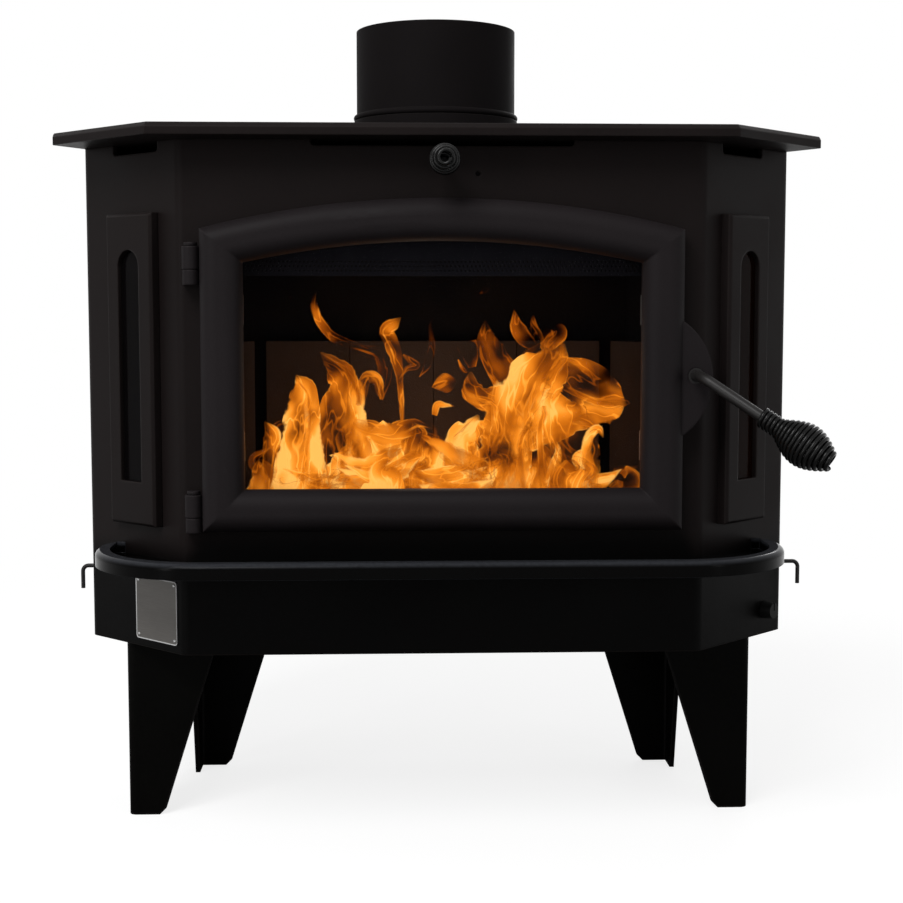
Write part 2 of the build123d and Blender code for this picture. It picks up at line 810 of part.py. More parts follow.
# Door frame: arched casting with a rounded moulding that meets in mitres at the corners, a rebate
# for the glass, a groove for the rope and the latch ear on its right edge
door_outer = arched_outline(door_rail)
door_opening = arched_outline(0)
glass_seat = arched_outline(glass_lap + glass_fit)
rope_inner = arched_outline(door_rail - rope_inset - rope_width)
rope_outer = arched_outline(door_rail - rope_inset)
ear_centre = half_door + ear_reach - ear_radius
glass_rebate = glass_tape + glass_thickness
bushing_outer = shaft_diameter / 2 + shaft_fit + bushing_wall
with BuildPart() as door_frame:
    with BuildSketch(front_plane.offset(door_standoff)):
        make_face(door_outer)
        make_face(door_opening, mode=Mode.SUBTRACT)
    extrude(amount=door_thickness)
    moulding = door_frame.faces().sort_by(Axis.Y)[0].edges()
    fillet(moulding, radius=moulding_radius)
    with BuildSketch(front_plane.offset(door_standoff)):
        make_face(glass_seat)
    extrude(amount=glass_rebate, mode=Mode.SUBTRACT)
    with BuildSketch(front_plane.offset(door_standoff)):
        make_face(rope_outer)
        make_face(rope_inner, mode=Mode.SUBTRACT)
    extrude(amount=rope_depth, mode=Mode.SUBTRACT)
    with BuildSketch(front_plane.offset(ear_standoff)):
        with Locations((ear_centre, ear_height)):
            Circle(ear_radius)
        with Locations((half_door - ear_bite - ear_radius, ear_height)):
            Rectangle(2 * ear_radius, 2 * ear_radius, mode=Mode.SUBTRACT)
        with Locations((shaft_x, shaft_height)):
            Circle(bushing_outer, mode=Mode.SUBTRACT)
        with Locations((half_door + ear_reach, ear_height - ear_nick_drop)):
            Circle(ear_nick, mode=Mode.SUBTRACT)
    extrude(amount=ear_thickness)
door_frame.part.label = "door_frame"
export_step(door_frame.part, "parts/door_frame.step")

# Door glass on its flat tape, held by four clips
door_pane = arched_outline(glass_lap)
with BuildPart() as door_glass:
    with BuildSketch(front_plane.offset(door_standoff)):
        make_face(door_pane)
    extrude(amount=glass_thickness)
door_glass.part.label = "door_glass"
export_step(door_glass.part, "parts/door_glass.step")

tape_outer = arched_outline(glass_lap)
tape_inner = arched_outline(glass_fit)
with BuildPart() as glass_gasket:
    with BuildSketch(front_plane.offset(door_standoff + glass_thickness)):
        make_face(tape_outer)
        make_face(tape_inner, mode=Mode.SUBTRACT)
    extrude(amount=glass_tape)
glass_gasket.part.label = "glass_gasket"
export_step(glass_gasket.part, "parts/glass_gasket.step")

# Rope seal in the groove of the door, just short of the front plate
rope_in = arched_outline(door_rail - rope_inset - rope_width + rope_fit)
rope_out = arched_outline(door_rail - rope_inset - rope_fit)
with BuildPart() as door_rope:
    with BuildSketch(front_plane.offset(rope_gap)):
        make_face(rope_out)
        make_face(rope_in, mode=Mode.SUBTRACT)
    extrude(amount=door_standoff + rope_depth - rope_gap)
door_rope.part.label = "door_rope"
export_step(door_rope.part, "parts/door_rope.step")

# Clips behind the glass, left and right, each with one screw into the door frame
clip_inner = half_glass + glass_fit
clip_outer = half_door - rope_inset - rope_width - glass_fit
clip_middle = (clip_inner + clip_outer) / 2
clip_screw_x = (half_glass + glass_lap + glass_fit + clip_outer) / 2
glass_head = door_head_radius - door_rail
glass_spring = door_crown - door_head_radius + math.sqrt(glass_head**2 - half_glass**2)
clip_levels = (door_sill + 2 * door_rail, glass_spring - clip_drop)
clip_places = [(hand * clip_middle, level) for hand in (-1, 1) for level in clip_levels]
screw_places = [(hand * clip_screw_x, level) for hand in (-1, 1) for level in clip_levels]
with BuildPart() as glass_clips:
    with BuildSketch(front_plane.offset(door_standoff - clip_thickness)):
        with Locations(*clip_places):
            Rectangle(clip_outer - clip_inner, clip_length)
        with Locations(*screw_places):
            Circle(clip_screw / 2, mode=Mode.SUBTRACT)
    extrude(amount=clip_thickness)
glass_clips.part.label = "glass_clips"
export_step(glass_clips.part, "parts/glass_clips.step")

with BuildPart() as clip_screws:
    with BuildSketch(front_plane.offset(door_standoff - clip_thickness)):
        with Locations(*screw_places):
            Circle(clip_screw / 2)
    extrude(amount=clip_thickness)
    with BuildSketch(front_plane.offset(door_standoff - clip_thickness)):
        with Locations(*screw_places):
            Circle(clip_screw_head / 2)
    extrude(amount=-clip_head_height)
clip_screws.part.label = "clip_screws"
export_step(clip_screws.part, "parts/clip_screws.step")

# Hinges: lugs welded to the front plate carry upright pins, the door's knuckles drop over them
hinge_y = front_y - hinge_standoff
with BuildPart() as hinge_lugs:
    for level in hinge_heights:
        with BuildSketch(Plane.XY.offset(level - hinge_gap - lug_height)):
            with Locations((hinge_x, hinge_y)):
                Circle(lug_radius)
            with Locations((hinge_x, front_y - hinge_standoff / 2)):
                Rectangle(2 * lug_radius, hinge_standoff)
            with Locations((hinge_x, hinge_y)):
                Circle(hinge_pin / 2, mode=Mode.SUBTRACT)
        extrude(amount=lug_height)
hinge_lugs.part.label = "hinge_lugs"
export_step(hinge_lugs.part, "parts/hinge_lugs.step")

with BuildPart() as hinge_pins:
    for level in hinge_heights:
        with BuildSketch(Plane.XY.offset(level - hinge_gap - lug_height)):
            with Locations((hinge_x, hinge_y)):
                Circle(hinge_pin / 2)
        extrude(amount=lug_height + hinge_gap + knuckle_height + hinge_gap)
        with BuildSketch(Plane.XY.offset(level + knuckle_height + hinge_gap)):
            with Locations((hinge_x, hinge_y)):
                Circle(pin_head_radius)
        extrude(amount=pin_head_height)
hinge_pins.part.label = "hinge_pins"
export_step(hinge_pins.part, "parts/hinge_pins.step")

with BuildPart() as door_knuckles:
    for level in hinge_heights:
        with BuildSketch(Plane.XY.offset(level)):
            with Locations((hinge_x, hinge_y)):
                Circle(knuckle_radius)
            with Locations((hinge_x + hinge_offset / 2, hinge_y + (hinge_standoff - door_standoff) / 2)):
                Rectangle(hinge_offset, hinge_standoff - door_standoff)
            with Locations((hinge_x, hinge_y)):
                Circle(hinge_pin / 2 + hinge_fit, mode=Mode.SUBTRACT)
        extrude(amount=knuckle_height)
door_knuckles.part.label = "door_knuckles"
export_step(door_knuckles.part, "parts/door_knuckles.step")

# Handle: a bushing in the ear, the bent shaft with its coil grip, the latch cam and its nut, and
# the keeper stud on the front plate that the cam draws down on
bushing_back = ear_standoff - bushing_flange
with BuildPart() as handle_bushing:
    with BuildSketch(front_plane.offset(ear_standoff)):
        with Locations((shaft_x, shaft_height)):
            Circle(bushing_outer)
            Circle(shaft_diameter / 2 + shaft_fit, mode=Mode.SUBTRACT)
    extrude(amount=ear_thickness)
    with BuildSketch(front_plane.offset(bushing_back)):
        with Locations((shaft_x, shaft_height)):
            Circle(bushing_outer + bushing_flange_width)
            Circle(shaft_diameter / 2 + shaft_fit, mode=Mode.SUBTRACT)
    extrude(amount=bushing_flange)
handle_bushing.part.label = "handle_bushing"
export_step(handle_bushing.part, "parts/handle_bushing.step")

cam_front = bushing_back - cam_gap
cam_back = cam_front - cam_thickness
shaft_back = cam_back - nut_thickness
handle_dip_cos = math.cos(math.radians(handle_dip))
handle_dip_sin = math.sin(math.radians(handle_dip))
handle_way = Vector(handle_cos * handle_dip_cos, -handle_sin, -handle_cos * handle_dip_sin)
shaft_start = Vector(shaft_x, front_y - shaft_back, shaft_height)
bend_point = Vector(shaft_x, front_y - handle_out, shaft_height)
grip_start = bend_point + handle_way * handle_rod
shaft_end = grip_start + handle_way * grip_neck
with BuildPart() as handle_shaft:
    with BuildLine() as shaft_path:
        FilletPolyline(shaft_start, bend_point, shaft_end, radius=shaft_bend)
    with BuildSketch(Plane(origin=shaft_start, z_dir=(0, -1, 0))):
        Circle(shaft_diameter / 2)
    sweep(path=shaft_path.wires()[0])
handle_shaft.part.label = "handle_shaft"
export_step(handle_shaft.part, "parts/handle_shaft.step")

grip_side = handle_way.cross(Vector(0, 0, 1)).normalized()
grip_plane = Plane(origin=grip_start, x_dir=grip_side, z_dir=grip_side.cross(handle_way))
with BuildPart() as handle_grip:
    with BuildSketch(grip_plane):
        with BuildLine():
            Polyline(*[(r, a) for r, a in handle_outside + handle_inside], close=True)
        make_face()
    revolve(axis=Axis(grip_start, handle_way))
handle_grip.part.label = "handle_grip"
export_step(handle_grip.part, "parts/handle_grip.step")

keeper_x = half_door + (ear_reach - shaft_inset) / 2 + keeper_diameter / 4
keeper_z = shaft_height - keeper_drop
arm_left = keeper_x + keeper_diameter / 2 + keeper_gap
with BuildPart() as latch_cam:
    with BuildSketch(front_plane.offset(cam_back)):
        with Locations((shaft_x, shaft_height)):
            Circle(cam_radius)
        with Locations((arm_left + cam_arm_width / 2, shaft_height - cam_arm_length / 2)):
            Rectangle(cam_arm_width, cam_arm_length)
        with Locations((shaft_x, shaft_height)):
            Circle(shaft_diameter / 2, mode=Mode.SUBTRACT)
    extrude(amount=cam_thickness)
latch_cam.part.label = "latch_cam"
export_step(latch_cam.part, "parts/latch_cam.step")

with BuildPart() as cam_nut:
    with BuildSketch(front_plane.offset(shaft_back)):
        with Locations((shaft_x, shaft_height)):
            RegularPolygon(nut_across / 2, 6, major_radius=False)
            Circle(shaft_diameter / 2, mode=Mode.SUBTRACT)
    extrude(amount=nut_thickness)
cam_nut.part.label = "cam_nut"
export_step(cam_nut.part, "parts/cam_nut.step")

with BuildPart() as keeper_stud:
    with BuildSketch(front_plane):
        with Locations((keeper_x, keeper_z)):
            Circle(keeper_diameter / 2)
    extrude(amount=cam_front)
keeper_stud.part.label = "keeper_stud"
export_step(keeper_stud.part, "parts/keeper_stud.step")

# Side windows: thick frame plate with an arched slot, rebated at the back for the pane and its tape
for side, hand, corner in sides:
    centre = (hand * window_along, window_sill + window_height / 2)
    slot = window_outline(0, hand)
    pane = window_outline(window_lap, hand)
    seat = window_outline(window_lap + glass_fit, hand)
    sight = window_outline(window_lap / 2, hand)
    with BuildPart() as window_frame:
        with BuildSketch(corner):
            with Locations(centre):
                Rectangle(window_width, window_height)
        extrude(amount=window_thickness)
        outer_face = window_frame.faces().filter_by(Plane(corner.origin, z_dir=corner.z_dir)).sort_by(
            Axis(corner.origin, corner.z_dir)
        )[-1]
        chamfer(outer_face.edges(), length=window_edge)
        with BuildSketch(corner):
            make_face(slot)
        extrude(amount=window_thickness, mode=Mode.SUBTRACT)
        with BuildSketch(corner):
            make_face(seat)
        extrude(amount=window_tape + glass_thickness, mode=Mode.SUBTRACT)
    window_frame.part.label = f"window_frame_{side}"
    export_step(window_frame.part, f"parts/window_frame_{side}.step")

    with BuildPart() as window_glass:
        with BuildSketch(corner.offset(window_tape)):
            make_face(pane)
        extrude(amount=glass_thickness)
    window_glass.part.label = f"window_glass_{side}"
    export_step(window_glass.part, f"parts/window_glass_{side}.step")

    with BuildPart() as window_gasket:
        with BuildSketch(corner):
            make_face(pane)
            make_face(sight, mode=Mode.SUBTRACT)
        extrude(amount=window_tape)
    window_gasket.part.label = f"window_gasket_{side}"
    export_step(window_gasket.part, f"parts/window_gasket_{side}.step")

# Ash shelf: plate with a rounded rim, cut to the front and the angled corners that it hangs on
shelf_front = front_y - shelf_reach
shelf_back = front_y + shelf_end
with BuildPart() as ash_shelf:
    with BuildSketch(Plane.XY.offset(shelf_height)) as shelf_sketch:
        with BuildLine():
            Polyline(
                (-shelf_half, shelf_back),
                (-shelf_half, shelf_front),
                (shelf_half, shelf_front),
                (shelf_half, shelf_back),
                close=True,
            )
        make_face()
        fillet(shelf_sketch.vertices().group_by(Axis.Y)[0], radius=shelf_corner)
        fillet(shelf_sketch.vertices().group_by(Axis.Y)[-1], radius=shelf_end_radius)
    extrude(amount=rim_height)
    fillet(ash_shelf.faces().sort_by(Axis.Z)[-1].edges(), radius=rim_round)
    with BuildSketch(Plane.XY.offset(shelf_height + shelf_plate)):
        with BuildLine():
            Polyline(
                (-shelf_half + rim_width, shelf_back - rim_width),
                (-shelf_half + rim_width, shelf_front + rim_width),
                (shelf_half - rim_width, shelf_front + rim_width),
                (shelf_half - rim_width, shelf_back - rim_width),
                close=True,
            )
        well = make_face()
        fillet(well.vertices().group_by(Axis.Y)[0], radius=shelf_corner - rim_width)
        fillet(well.vertices().group_by(Axis.Y)[-1], radius=shelf_end_radius - rim_width)
    extrude(amount=rim_height, mode=Mode.SUBTRACT)
    with BuildSketch(Plane.XY.offset(shelf_height)):
        with BuildLine():
            FilletPolyline(*outer_plan, radius=bend_radius)
            Line(outer_plan[-1], outer_plan[0])
        make_face()
    extrude(amount=2 * rim_height, mode=Mode.SUBTRACT)
ash_shelf.part.label = "ash_shelf"
export_step(ash_shelf.part, "parts/ash_shelf.step")

# Legs: tapered angle of bent plate with a small flange under the bottom plate
for name, hand, way, half, corner_y in leg_places:
    outer_x = hand * half
    with BuildPart() as leg:
        with BuildSketch(Plane.XY):
            with BuildLine():
                FilletPolyline(
                    (outer_x - hand * leg_top_width, corner_y),
                    (outer_x, corner_y),
                    (outer_x, corner_y - way * leg_side_top),
                    radius=leg_bend,
                )
                Polyline(
                    (outer_x, corner_y - way * leg_side_top),
                    (outer_x - hand * leg_thickness, corner_y - way * leg_side_top),
                    (outer_x - hand * leg_thickness, corner_y - way * leg_thickness),
                    (outer_x - hand * leg_top_width, corner_y - way * leg_thickness),
                    (outer_x - hand * leg_top_width, corner_y),
                )
            make_face()
        extrude(amount=leg_height)
        with BuildSketch(Plane.XZ.offset(-corner_y)):
            with BuildLine():
                Polyline(
                    (outer_x - hand * (leg_foot_width - leg_foot_clip), 0),
                    (outer_x - hand * leg_foot_width, leg_foot_clip),
                    (outer_x - hand * leg_top_width, leg_height - leg_thickness),
                    (outer_x - hand * leg_top_width, 0),
                    close=True,
                )
            make_face()
        extrude(amount=leg_side_top, both=True, mode=Mode.SUBTRACT)
        with BuildSketch(Plane.YZ.offset(outer_x)):
            with BuildLine():
                Polyline(
                    (corner_y - way * leg_side_foot, 0),
                    (corner_y - way * leg_side_top, leg_height - leg_thickness),
                    (corner_y - way * leg_side_top, 0),
                    close=True,
                )
            make_face()
        extrude(amount=leg_top_width, both=True, mode=Mode.SUBTRACT)
        with BuildSketch(Plane.XY.offset(leg_height - leg_thickness)):
            with Locations(
                (
                    outer_x - hand * (leg_thickness + leg_flange / 2),
                    corner_y - way * (leg_thickness + leg_flange / 2),
                )
            ):
                Rectangle(leg_flange, leg_flange)
            with Locations(*bolt_places):
                Circle(leg_bolt / 2 + leg_bolt_fit, mode=Mode.SUBTRACT)
        extrude(amount=leg_thickness)
    leg.part.label = f"leg_{name}"
    export_step(leg.part, f"parts/leg_{name}.step")

with BuildPart() as leg_bolts:
    with BuildSketch(Plane.XY.offset(leg_height - leg_thickness)):
        with Locations(*bolt_places):
            Circle(leg_bolt / 2)
    extrude(amount=leg_thickness + sheet + leg_bolt / 2)
    with BuildSketch(Plane.XY.offset(leg_height - leg_thickness)):
        with Locations(*bolt_places):
            RegularPolygon(leg_bolt_head / 2, 6, major_radius=False)
    extrude(amount=-leg_bolt_head_height)
leg_bolts.part.label = "leg_bolts"
export_step(leg_bolts.part, "parts/leg_bolts.step")

# Primary air: each pull rod is bent down outside the body and moves a shutter under an air port
rod_y = front_y + air_rod_setback
shutter_top = box_bottom - shutter_fit
for side, hand, corner in sides:
    out = air_rod_out_left if hand < 0 else air_rod_out_right
    hook_x = hand * (half_body + out)
    tab_x = hand * shutter_outer
    with BuildPart() as pull_rod:
        with BuildLine() as rod_path:
            FilletPolyline(
                (tab_x - hand * shutter_tab, rod_y, air_rod_height),
                (hook_x, rod_y, air_rod_height),
                (hook_x, rod_y, air_rod_height - air_rod_drop),
                radius=air_rod_bend,
            )
        with BuildSketch(
            Plane(origin=(tab_x - hand * shutter_tab, rod_y, air_rod_height), z_dir=(hand, 0, 0))
        ):
            Circle(air_rod / 2)
        sweep(path=rod_path.wires()[0])
    pull_rod.part.label = f"air_rod_{side}"
    export_step(pull_rod.part, f"parts/air_rod_{side}.step")

    with BuildPart() as shutter:
        with BuildSketch(Plane.XY.offset(shutter_top - shutter_thickness)):
            with Locations((hand * (shutter_outer - shutter_length / 2), rod_y)):
                Rectangle(shutter_length, shutter_width)
        extrude(amount=shutter_thickness)
        with BuildSketch(Plane.YZ.offset(tab_x)):
            with Locations((rod_y, (shutter_top + air_rod_height - 2 * air_rod) / 2)):
                Rectangle(4 * air_rod, shutter_top - air_rod_height + 2 * air_rod)
            with Locations((rod_y, air_rod_height)):
                Circle(air_rod / 2, mode=Mode.SUBTRACT)
        extrude(amount=-hand * shutter_tab)
    shutter.part.label = f"air_shutter_{side}"
    export_step(shutter.part, f"parts/air_shutter_{side}.step")

# Guides: folded strips welded under the firebox floor, one along each edge of each shutter
guide_drop = 2 * shutter_fit + shutter_thickness
guide_x = shutter_outer - shutter_length / 2
with BuildPart() as air_guides:
    for hand in (-1, 1):
        for way in (-1, 1):
            edge_y = rod_y + way * (shutter_width / 2 + shutter_fit)
            with BuildSketch(Plane.YZ.offset(hand * guide_x)):
                with BuildLine():
                    Polyline(
                        (edge_y, box_bottom),
                        (edge_y, box_bottom - guide_drop),
                        (edge_y - way * guide_lip, box_bottom - guide_drop),
                        (edge_y - way * guide_lip, box_bottom - guide_drop - guide_thickness),
                        (edge_y + way * guide_thickness, box_bottom - guide_drop - guide_thickness),
                        (edge_y + way * guide_thickness, box_bottom),
                        close=True,
                    )
                make_face()
            extrude(amount=guide_length / 2, both=True)
air_guides.part.label = "air_guides"
export_step(air_guides.part, "parts/air_guides.step")

# Blower control: knob on the right-hand corner, its speed control behind the plate
knob_radius = knob_diameter / 2
with BuildPart() as blower_knob:
    with BuildSketch(right_corner.offset(knob_gap)):
        with Locations((knob_along, knob_level)):
            Circle(knob_radius)
    extrude(amount=knob_height, taper=6)
    with BuildSketch(right_corner.offset(knob_gap)):
        with Locations((knob_along, knob_level)):
            Circle(knob_shaft / 2)
    extrude(amount=-(knob_gap + sheet + control_depth / 2))
    with BuildSketch(right_corner.offset(knob_gap + knob_height)):
        with Locations((knob_along, knob_level + knob_radius / 2)):
            Rectangle(knob_shaft / 3, knob_radius)
    extrude(amount=-knob_shaft / 4, mode=Mode.SUBTRACT)
blower_knob.part.label = "blower_knob"
export_step(blower_knob.part, "parts/blower_knob.step")

with BuildPart() as speed_control:
    with BuildSketch(right_corner.offset(-sheet)):
        with Locations((knob_along, knob_level)):
            Circle(control_diameter / 2)
    extrude(amount=-control_depth)
    with BuildSketch(right_corner.offset(-sheet)):
        with Locations((knob_along, knob_level)):
            Circle(knob_shaft / 2 + knob_shaft_fit)
    extrude(amount=-(control_depth / 2 + knob_gap), mode=Mode.SUBTRACT)
speed_control.part.label = "speed_control"
export_step(speed_control.part, "parts/speed_control.step")

# Blower: drum wheel in a scroll, driven by a motor on the same shaft, across the foot of the stove
blower_y = front_y + blower_setback
wheel_x = motor_length / 2 + motor_gap + scroll_wall + wheel_gap
wheel_plane = Plane(origin=(wheel_x, blower_y, blower_level), x_dir=(0, 1, 0), z_dir=(1, 0, 0))
wheel_radius = wheel_diameter / 2
with BuildPart() as blower_wheel:
    with BuildSketch(wheel_plane):
        Circle(wheel_radius)
        Circle(motor_shaft / 2, mode=Mode.SUBTRACT)
    extrude(amount=wheel_ring)
    with BuildSketch(wheel_plane):
        with PolarLocations(wheel_radius - wheel_blade_depth / 2, wheel_blades):
            Rectangle(wheel_blade_depth, wheel_blade_thickness)
    extrude(amount=wheel_width)
    with BuildSketch(wheel_plane.offset(wheel_width - wheel_ring)):
        Circle(wheel_radius)
        Circle(wheel_radius - wheel_blade_depth, mode=Mode.SUBTRACT)
    extrude(amount=wheel_ring)
blower_wheel.part.label = "blower_wheel"
export_step(blower_wheel.part, "parts/blower_wheel.step")

# Scroll: rounded case round the wheel, mouth towards the front, inlet eye in its right cheek
scroll_outer = wheel_radius + wheel_gap + scroll_wall
scroll_inner = wheel_radius + wheel_gap
scroll_x = wheel_x - wheel_gap - scroll_wall
scroll_width = wheel_width + 2 * wheel_gap + 2 * scroll_wall
scroll_plane = Plane(origin=(scroll_x, blower_y, blower_level), x_dir=(0, 1, 0), z_dir=(1, 0, 0))
scroll_foot = blower_level - leg_height - sheet
with BuildPart() as blower_scroll:
    with BuildSketch(scroll_plane):
        Circle(scroll_outer)
        with Locations((-scroll_outer / 2, -scroll_foot / 2)):
            Rectangle(scroll_outer, scroll_foot)
        with Locations((0, -scroll_foot / 2)):
            Rectangle(2 * scroll_outer, scroll_foot)
    extrude(amount=scroll_width)
    with BuildSketch(scroll_plane.offset(scroll_wall)):
        Circle(scroll_inner)
        with Locations((-scroll_outer, -scroll_inner / 2)):
            Rectangle(2 * scroll_outer, scroll_inner)
    extrude(amount=scroll_width - 2 * scroll_wall, mode=Mode.SUBTRACT)
    with BuildSketch(scroll_plane):
        Circle(wheel_radius - wheel_blade_depth)
    extrude(amount=scroll_width, mode=Mode.SUBTRACT)
blower_scroll.part.label = "blower_scroll"
export_step(blower_scroll.part, "parts/blower_scroll.step")

# Motor with its shaft end in the wheel's hub, on a foot on the bottom plate
motor_plane = Plane(
    origin=(-motor_length / 2, blower_y, blower_level), x_dir=(0, 1, 0), z_dir=(1, 0, 0)
)
with BuildPart() as blower_motor:
    with BuildSketch(motor_plane):
        Circle(motor_diameter / 2)
    extrude(amount=motor_length)
    chamfer(blower_motor.edges().filter_by(GeomType.CIRCLE), length=motor_foot)
    with BuildSketch(motor_plane.offset(motor_foot)):
        with Locations((0, -scroll_foot / 2)):
            Rectangle(motor_diameter / 2, scroll_foot)
    extrude(amount=motor_length - 2 * motor_foot)
blower_motor.part.label = "blower_motor"
export_step(blower_motor.part, "parts/blower_motor.step")

with BuildPart() as blower_shaft:
    with BuildSketch(motor_plane.offset(motor_length + motor_shaft_gap)):
        Circle(motor_shaft / 2)
    extrude(amount=wheel_x + wheel_ring + motor_foot - motor_length / 2 - motor_shaft_gap)
blower_shaft.part.label = "blower_shaft"
export_step(blower_shaft.part, "parts/blower_shaft.step")

# Grille over the blower inlet, outside the rear panel's opening and inside its outline
slot_pitch = inlet_height / grille_slots
with BuildPart() as blower_grille:
    with BuildSketch(rear_plane.offset(-sheet)):
        with Locations((0, blower_level)):
            Rectangle(inlet_width + 2 * grille_border, inlet_height + 2 * grille_border / 2)
            with GridLocations(1, slot_pitch, 1, grille_slots):
                Rectangle(inlet_width - grille_border, slot_pitch - grille_bar, mode=Mode.SUBTRACT)
    extrude(amount=-grille_thickness)
blower_grille.part.label = "blower_grille"
export_step(blower_grille.part, "parts/blower_grille.step")
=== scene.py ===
import math
import random

import bmesh
import bpy
from mathutils import Matrix, Vector


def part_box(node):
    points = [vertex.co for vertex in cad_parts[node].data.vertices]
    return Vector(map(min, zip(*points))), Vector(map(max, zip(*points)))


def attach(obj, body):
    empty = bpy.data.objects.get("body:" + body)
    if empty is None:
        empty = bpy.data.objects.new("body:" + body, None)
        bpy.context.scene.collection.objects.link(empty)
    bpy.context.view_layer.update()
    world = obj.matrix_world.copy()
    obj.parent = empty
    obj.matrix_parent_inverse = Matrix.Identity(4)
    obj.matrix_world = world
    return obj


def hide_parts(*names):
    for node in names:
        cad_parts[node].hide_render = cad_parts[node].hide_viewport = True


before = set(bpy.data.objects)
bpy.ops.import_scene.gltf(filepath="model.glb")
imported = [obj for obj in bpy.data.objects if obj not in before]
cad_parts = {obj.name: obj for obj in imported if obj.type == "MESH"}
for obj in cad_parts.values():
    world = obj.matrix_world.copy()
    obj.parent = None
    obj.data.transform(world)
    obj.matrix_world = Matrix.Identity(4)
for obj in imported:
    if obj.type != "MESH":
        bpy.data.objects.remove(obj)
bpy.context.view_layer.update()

# Camera: stands a little left of the stove's middle, level with the lower half of the door,
# looks slightly down, and has a lens of moderate length.
front_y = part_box("body_shell")[0].y
camera_x = -0.0646
camera_back = 1.8384
camera_height = 0.6121
camera_down = 5.03
camera_right = 2.32
camera_lens = 63.89
camera_sensor = 36.0
camera_data = bpy.data.cameras.new("photo_camera")
camera_data.sensor_width = camera_sensor
camera_data.lens = camera_lens
camera = bpy.data.objects.new("photo_camera", camera_data)
camera.location = (camera_x, front_y - camera_back, camera_height)
camera.rotation_euler = (math.radians(90 - camera_down), 0, math.radians(-camera_right))
bpy.context.scene.collection.objects.link(camera)
bpy.context.scene.camera = camera
bpy.context.scene.view_settings.view_transform = "Standard"


# Body: one steel plate folded at four bends, with a bottom plate, a rear panel and a thick top
# plate welded to it. Sprayed with satin black high-temperature paint, which rubs thin on edges.
# Its edges also carry a painted highlight, and it is painted near black as shade below the shelf.
class Wire:
    """An output socket. Arithmetic on it adds Math nodes to its tree."""

    def __init__(self, tree, socket):
        self.tree = tree
        self.socket = socket

    def math(self, operation, first, second=0.0):
        return self.tree.node("ShaderNodeMath", {"operation": operation}, {0: first, 1: second})

    def __add__(self, other):
        return self.math("ADD", self, other)

    def __radd__(self, other):
        return self.math("ADD", other, self)

    def __sub__(self, other):
        return self.math("SUBTRACT", self, other)

    def __rsub__(self, other):
        return self.math("SUBTRACT", other, self)

    def __mul__(self, other):
        return self.math("MULTIPLY", self, other)

    def __rmul__(self, other):
        return self.math("MULTIPLY", other, self)

    def __truediv__(self, other):
        return self.math("DIVIDE", self, other)

    def __mod__(self, other):
        return self.math("FLOORED_MODULO", self, other)

    def __pow__(self, other):
        return self.math("POWER", self, other)

    def __abs__(self):
        return self.math("ABSOLUTE", self)


class Tree:
    """A node tree, for a material, a world or a shape."""

    def __init__(self, nodes):
        self.nodes = nodes

    def feed(self, socket, value):
        if isinstance(value, Wire):
            self.nodes.links.new(value.socket, socket)
        else:
            socket.default_value = value

    def node(self, kind, settings, sockets, out=0):
        made = self.nodes.nodes.new(kind)
        for name, value in settings.items():
            if name == "stops":
                ramp = made.color_ramp.elements
                ramp[0].position, ramp[1].position = value[0][0], value[-1][0]
                for place, _ in value[1:-1]:
                    ramp.new(place)
                for stop, (_, colour) in zip(ramp, value):
                    stop.color = (*colour, 1.0)
            else:
                setattr(made, name, value)
        for socket, value in sockets.items():
            self.feed(made.inputs[socket], value)
        return Wire(self, made.outputs[out])

    def step(self, value, low, high):
        """0 below low, 1 above high, smooth between."""
        return self.node(
            "ShaderNodeMapRange",
            {"interpolation_type": "SMOOTHSTEP"},
            {"Value": value, "From Min": low, "From Max": high},
        )

    def blend(self, share, first, second):
        """From the first colour to the second."""
        sockets = {0: share, 6: first, 7: second}
        return self.node("ShaderNodeMix", {"data_type": "RGBA"}, sockets, 2)

    def noise(self, place, scale, detail=2.0, out=0):
        sockets = {"Vector": place, "Scale": scale, "Detail": detail}
        return self.node("ShaderNodeTexNoise", {}, sockets, out)

    def stretched(self, place, scale):
        """The place with its axes scaled, for streaks."""
        return self.node("ShaderNodeMapping", {}, {"Vector": place, "Scale": scale})

    def axis(self, place, name):
        """One coordinate of the place."""
        return self.node("ShaderNodeSeparateXYZ", {}, {"Vector": place}, name)


class Finish(Tree):
    """A material: its Principled shader and the nodes that feed it."""

    def __init__(self, name, **fixed):
        self.material = bpy.data.materials.new(name)
        self.material.use_nodes = True
        super().__init__(self.material.node_tree)
        self.shader = self.nodes.nodes["Principled BSDF"]
        self.place = self.node("ShaderNodeTexCoord", {}, {}, "Object")
        for socket, value in fixed.items():
            self.shader.inputs[socket.replace("_", " ")].default_value = value

    def set(self, socket, value):
        self.feed(self.shader.inputs[socket], value)

    def rounded_edges(self, radius):
        """Normals that round an edge off, and a mask that is 1 on the edge."""
        rounded = self.node("ShaderNodeBevel", {"samples": 6}, {"Radius": radius})
        flat = self.node("ShaderNodeNewGeometry", {}, {}, "Normal")
        both = {0: rounded, 1: flat}
        facing = self.node("ShaderNodeVectorMath", {"operation": "DOT_PRODUCT"}, both, "Value")
        return rounded, self.step(1 - facing, 0.01, 0.12)

    def relief(self, height, strength, depth, normal=None):
        sockets = {"Height": height, "Strength": strength, "Distance": depth}
        if normal:
            sockets["Normal"] = normal
        self.set("Normal", self.node("ShaderNodeBump", {}, sockets))

    def coat(self, *names):
        """Paints these solids of the frame."""
        for name in names:
            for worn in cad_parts[name].material_slots:
                worn.material = self.material


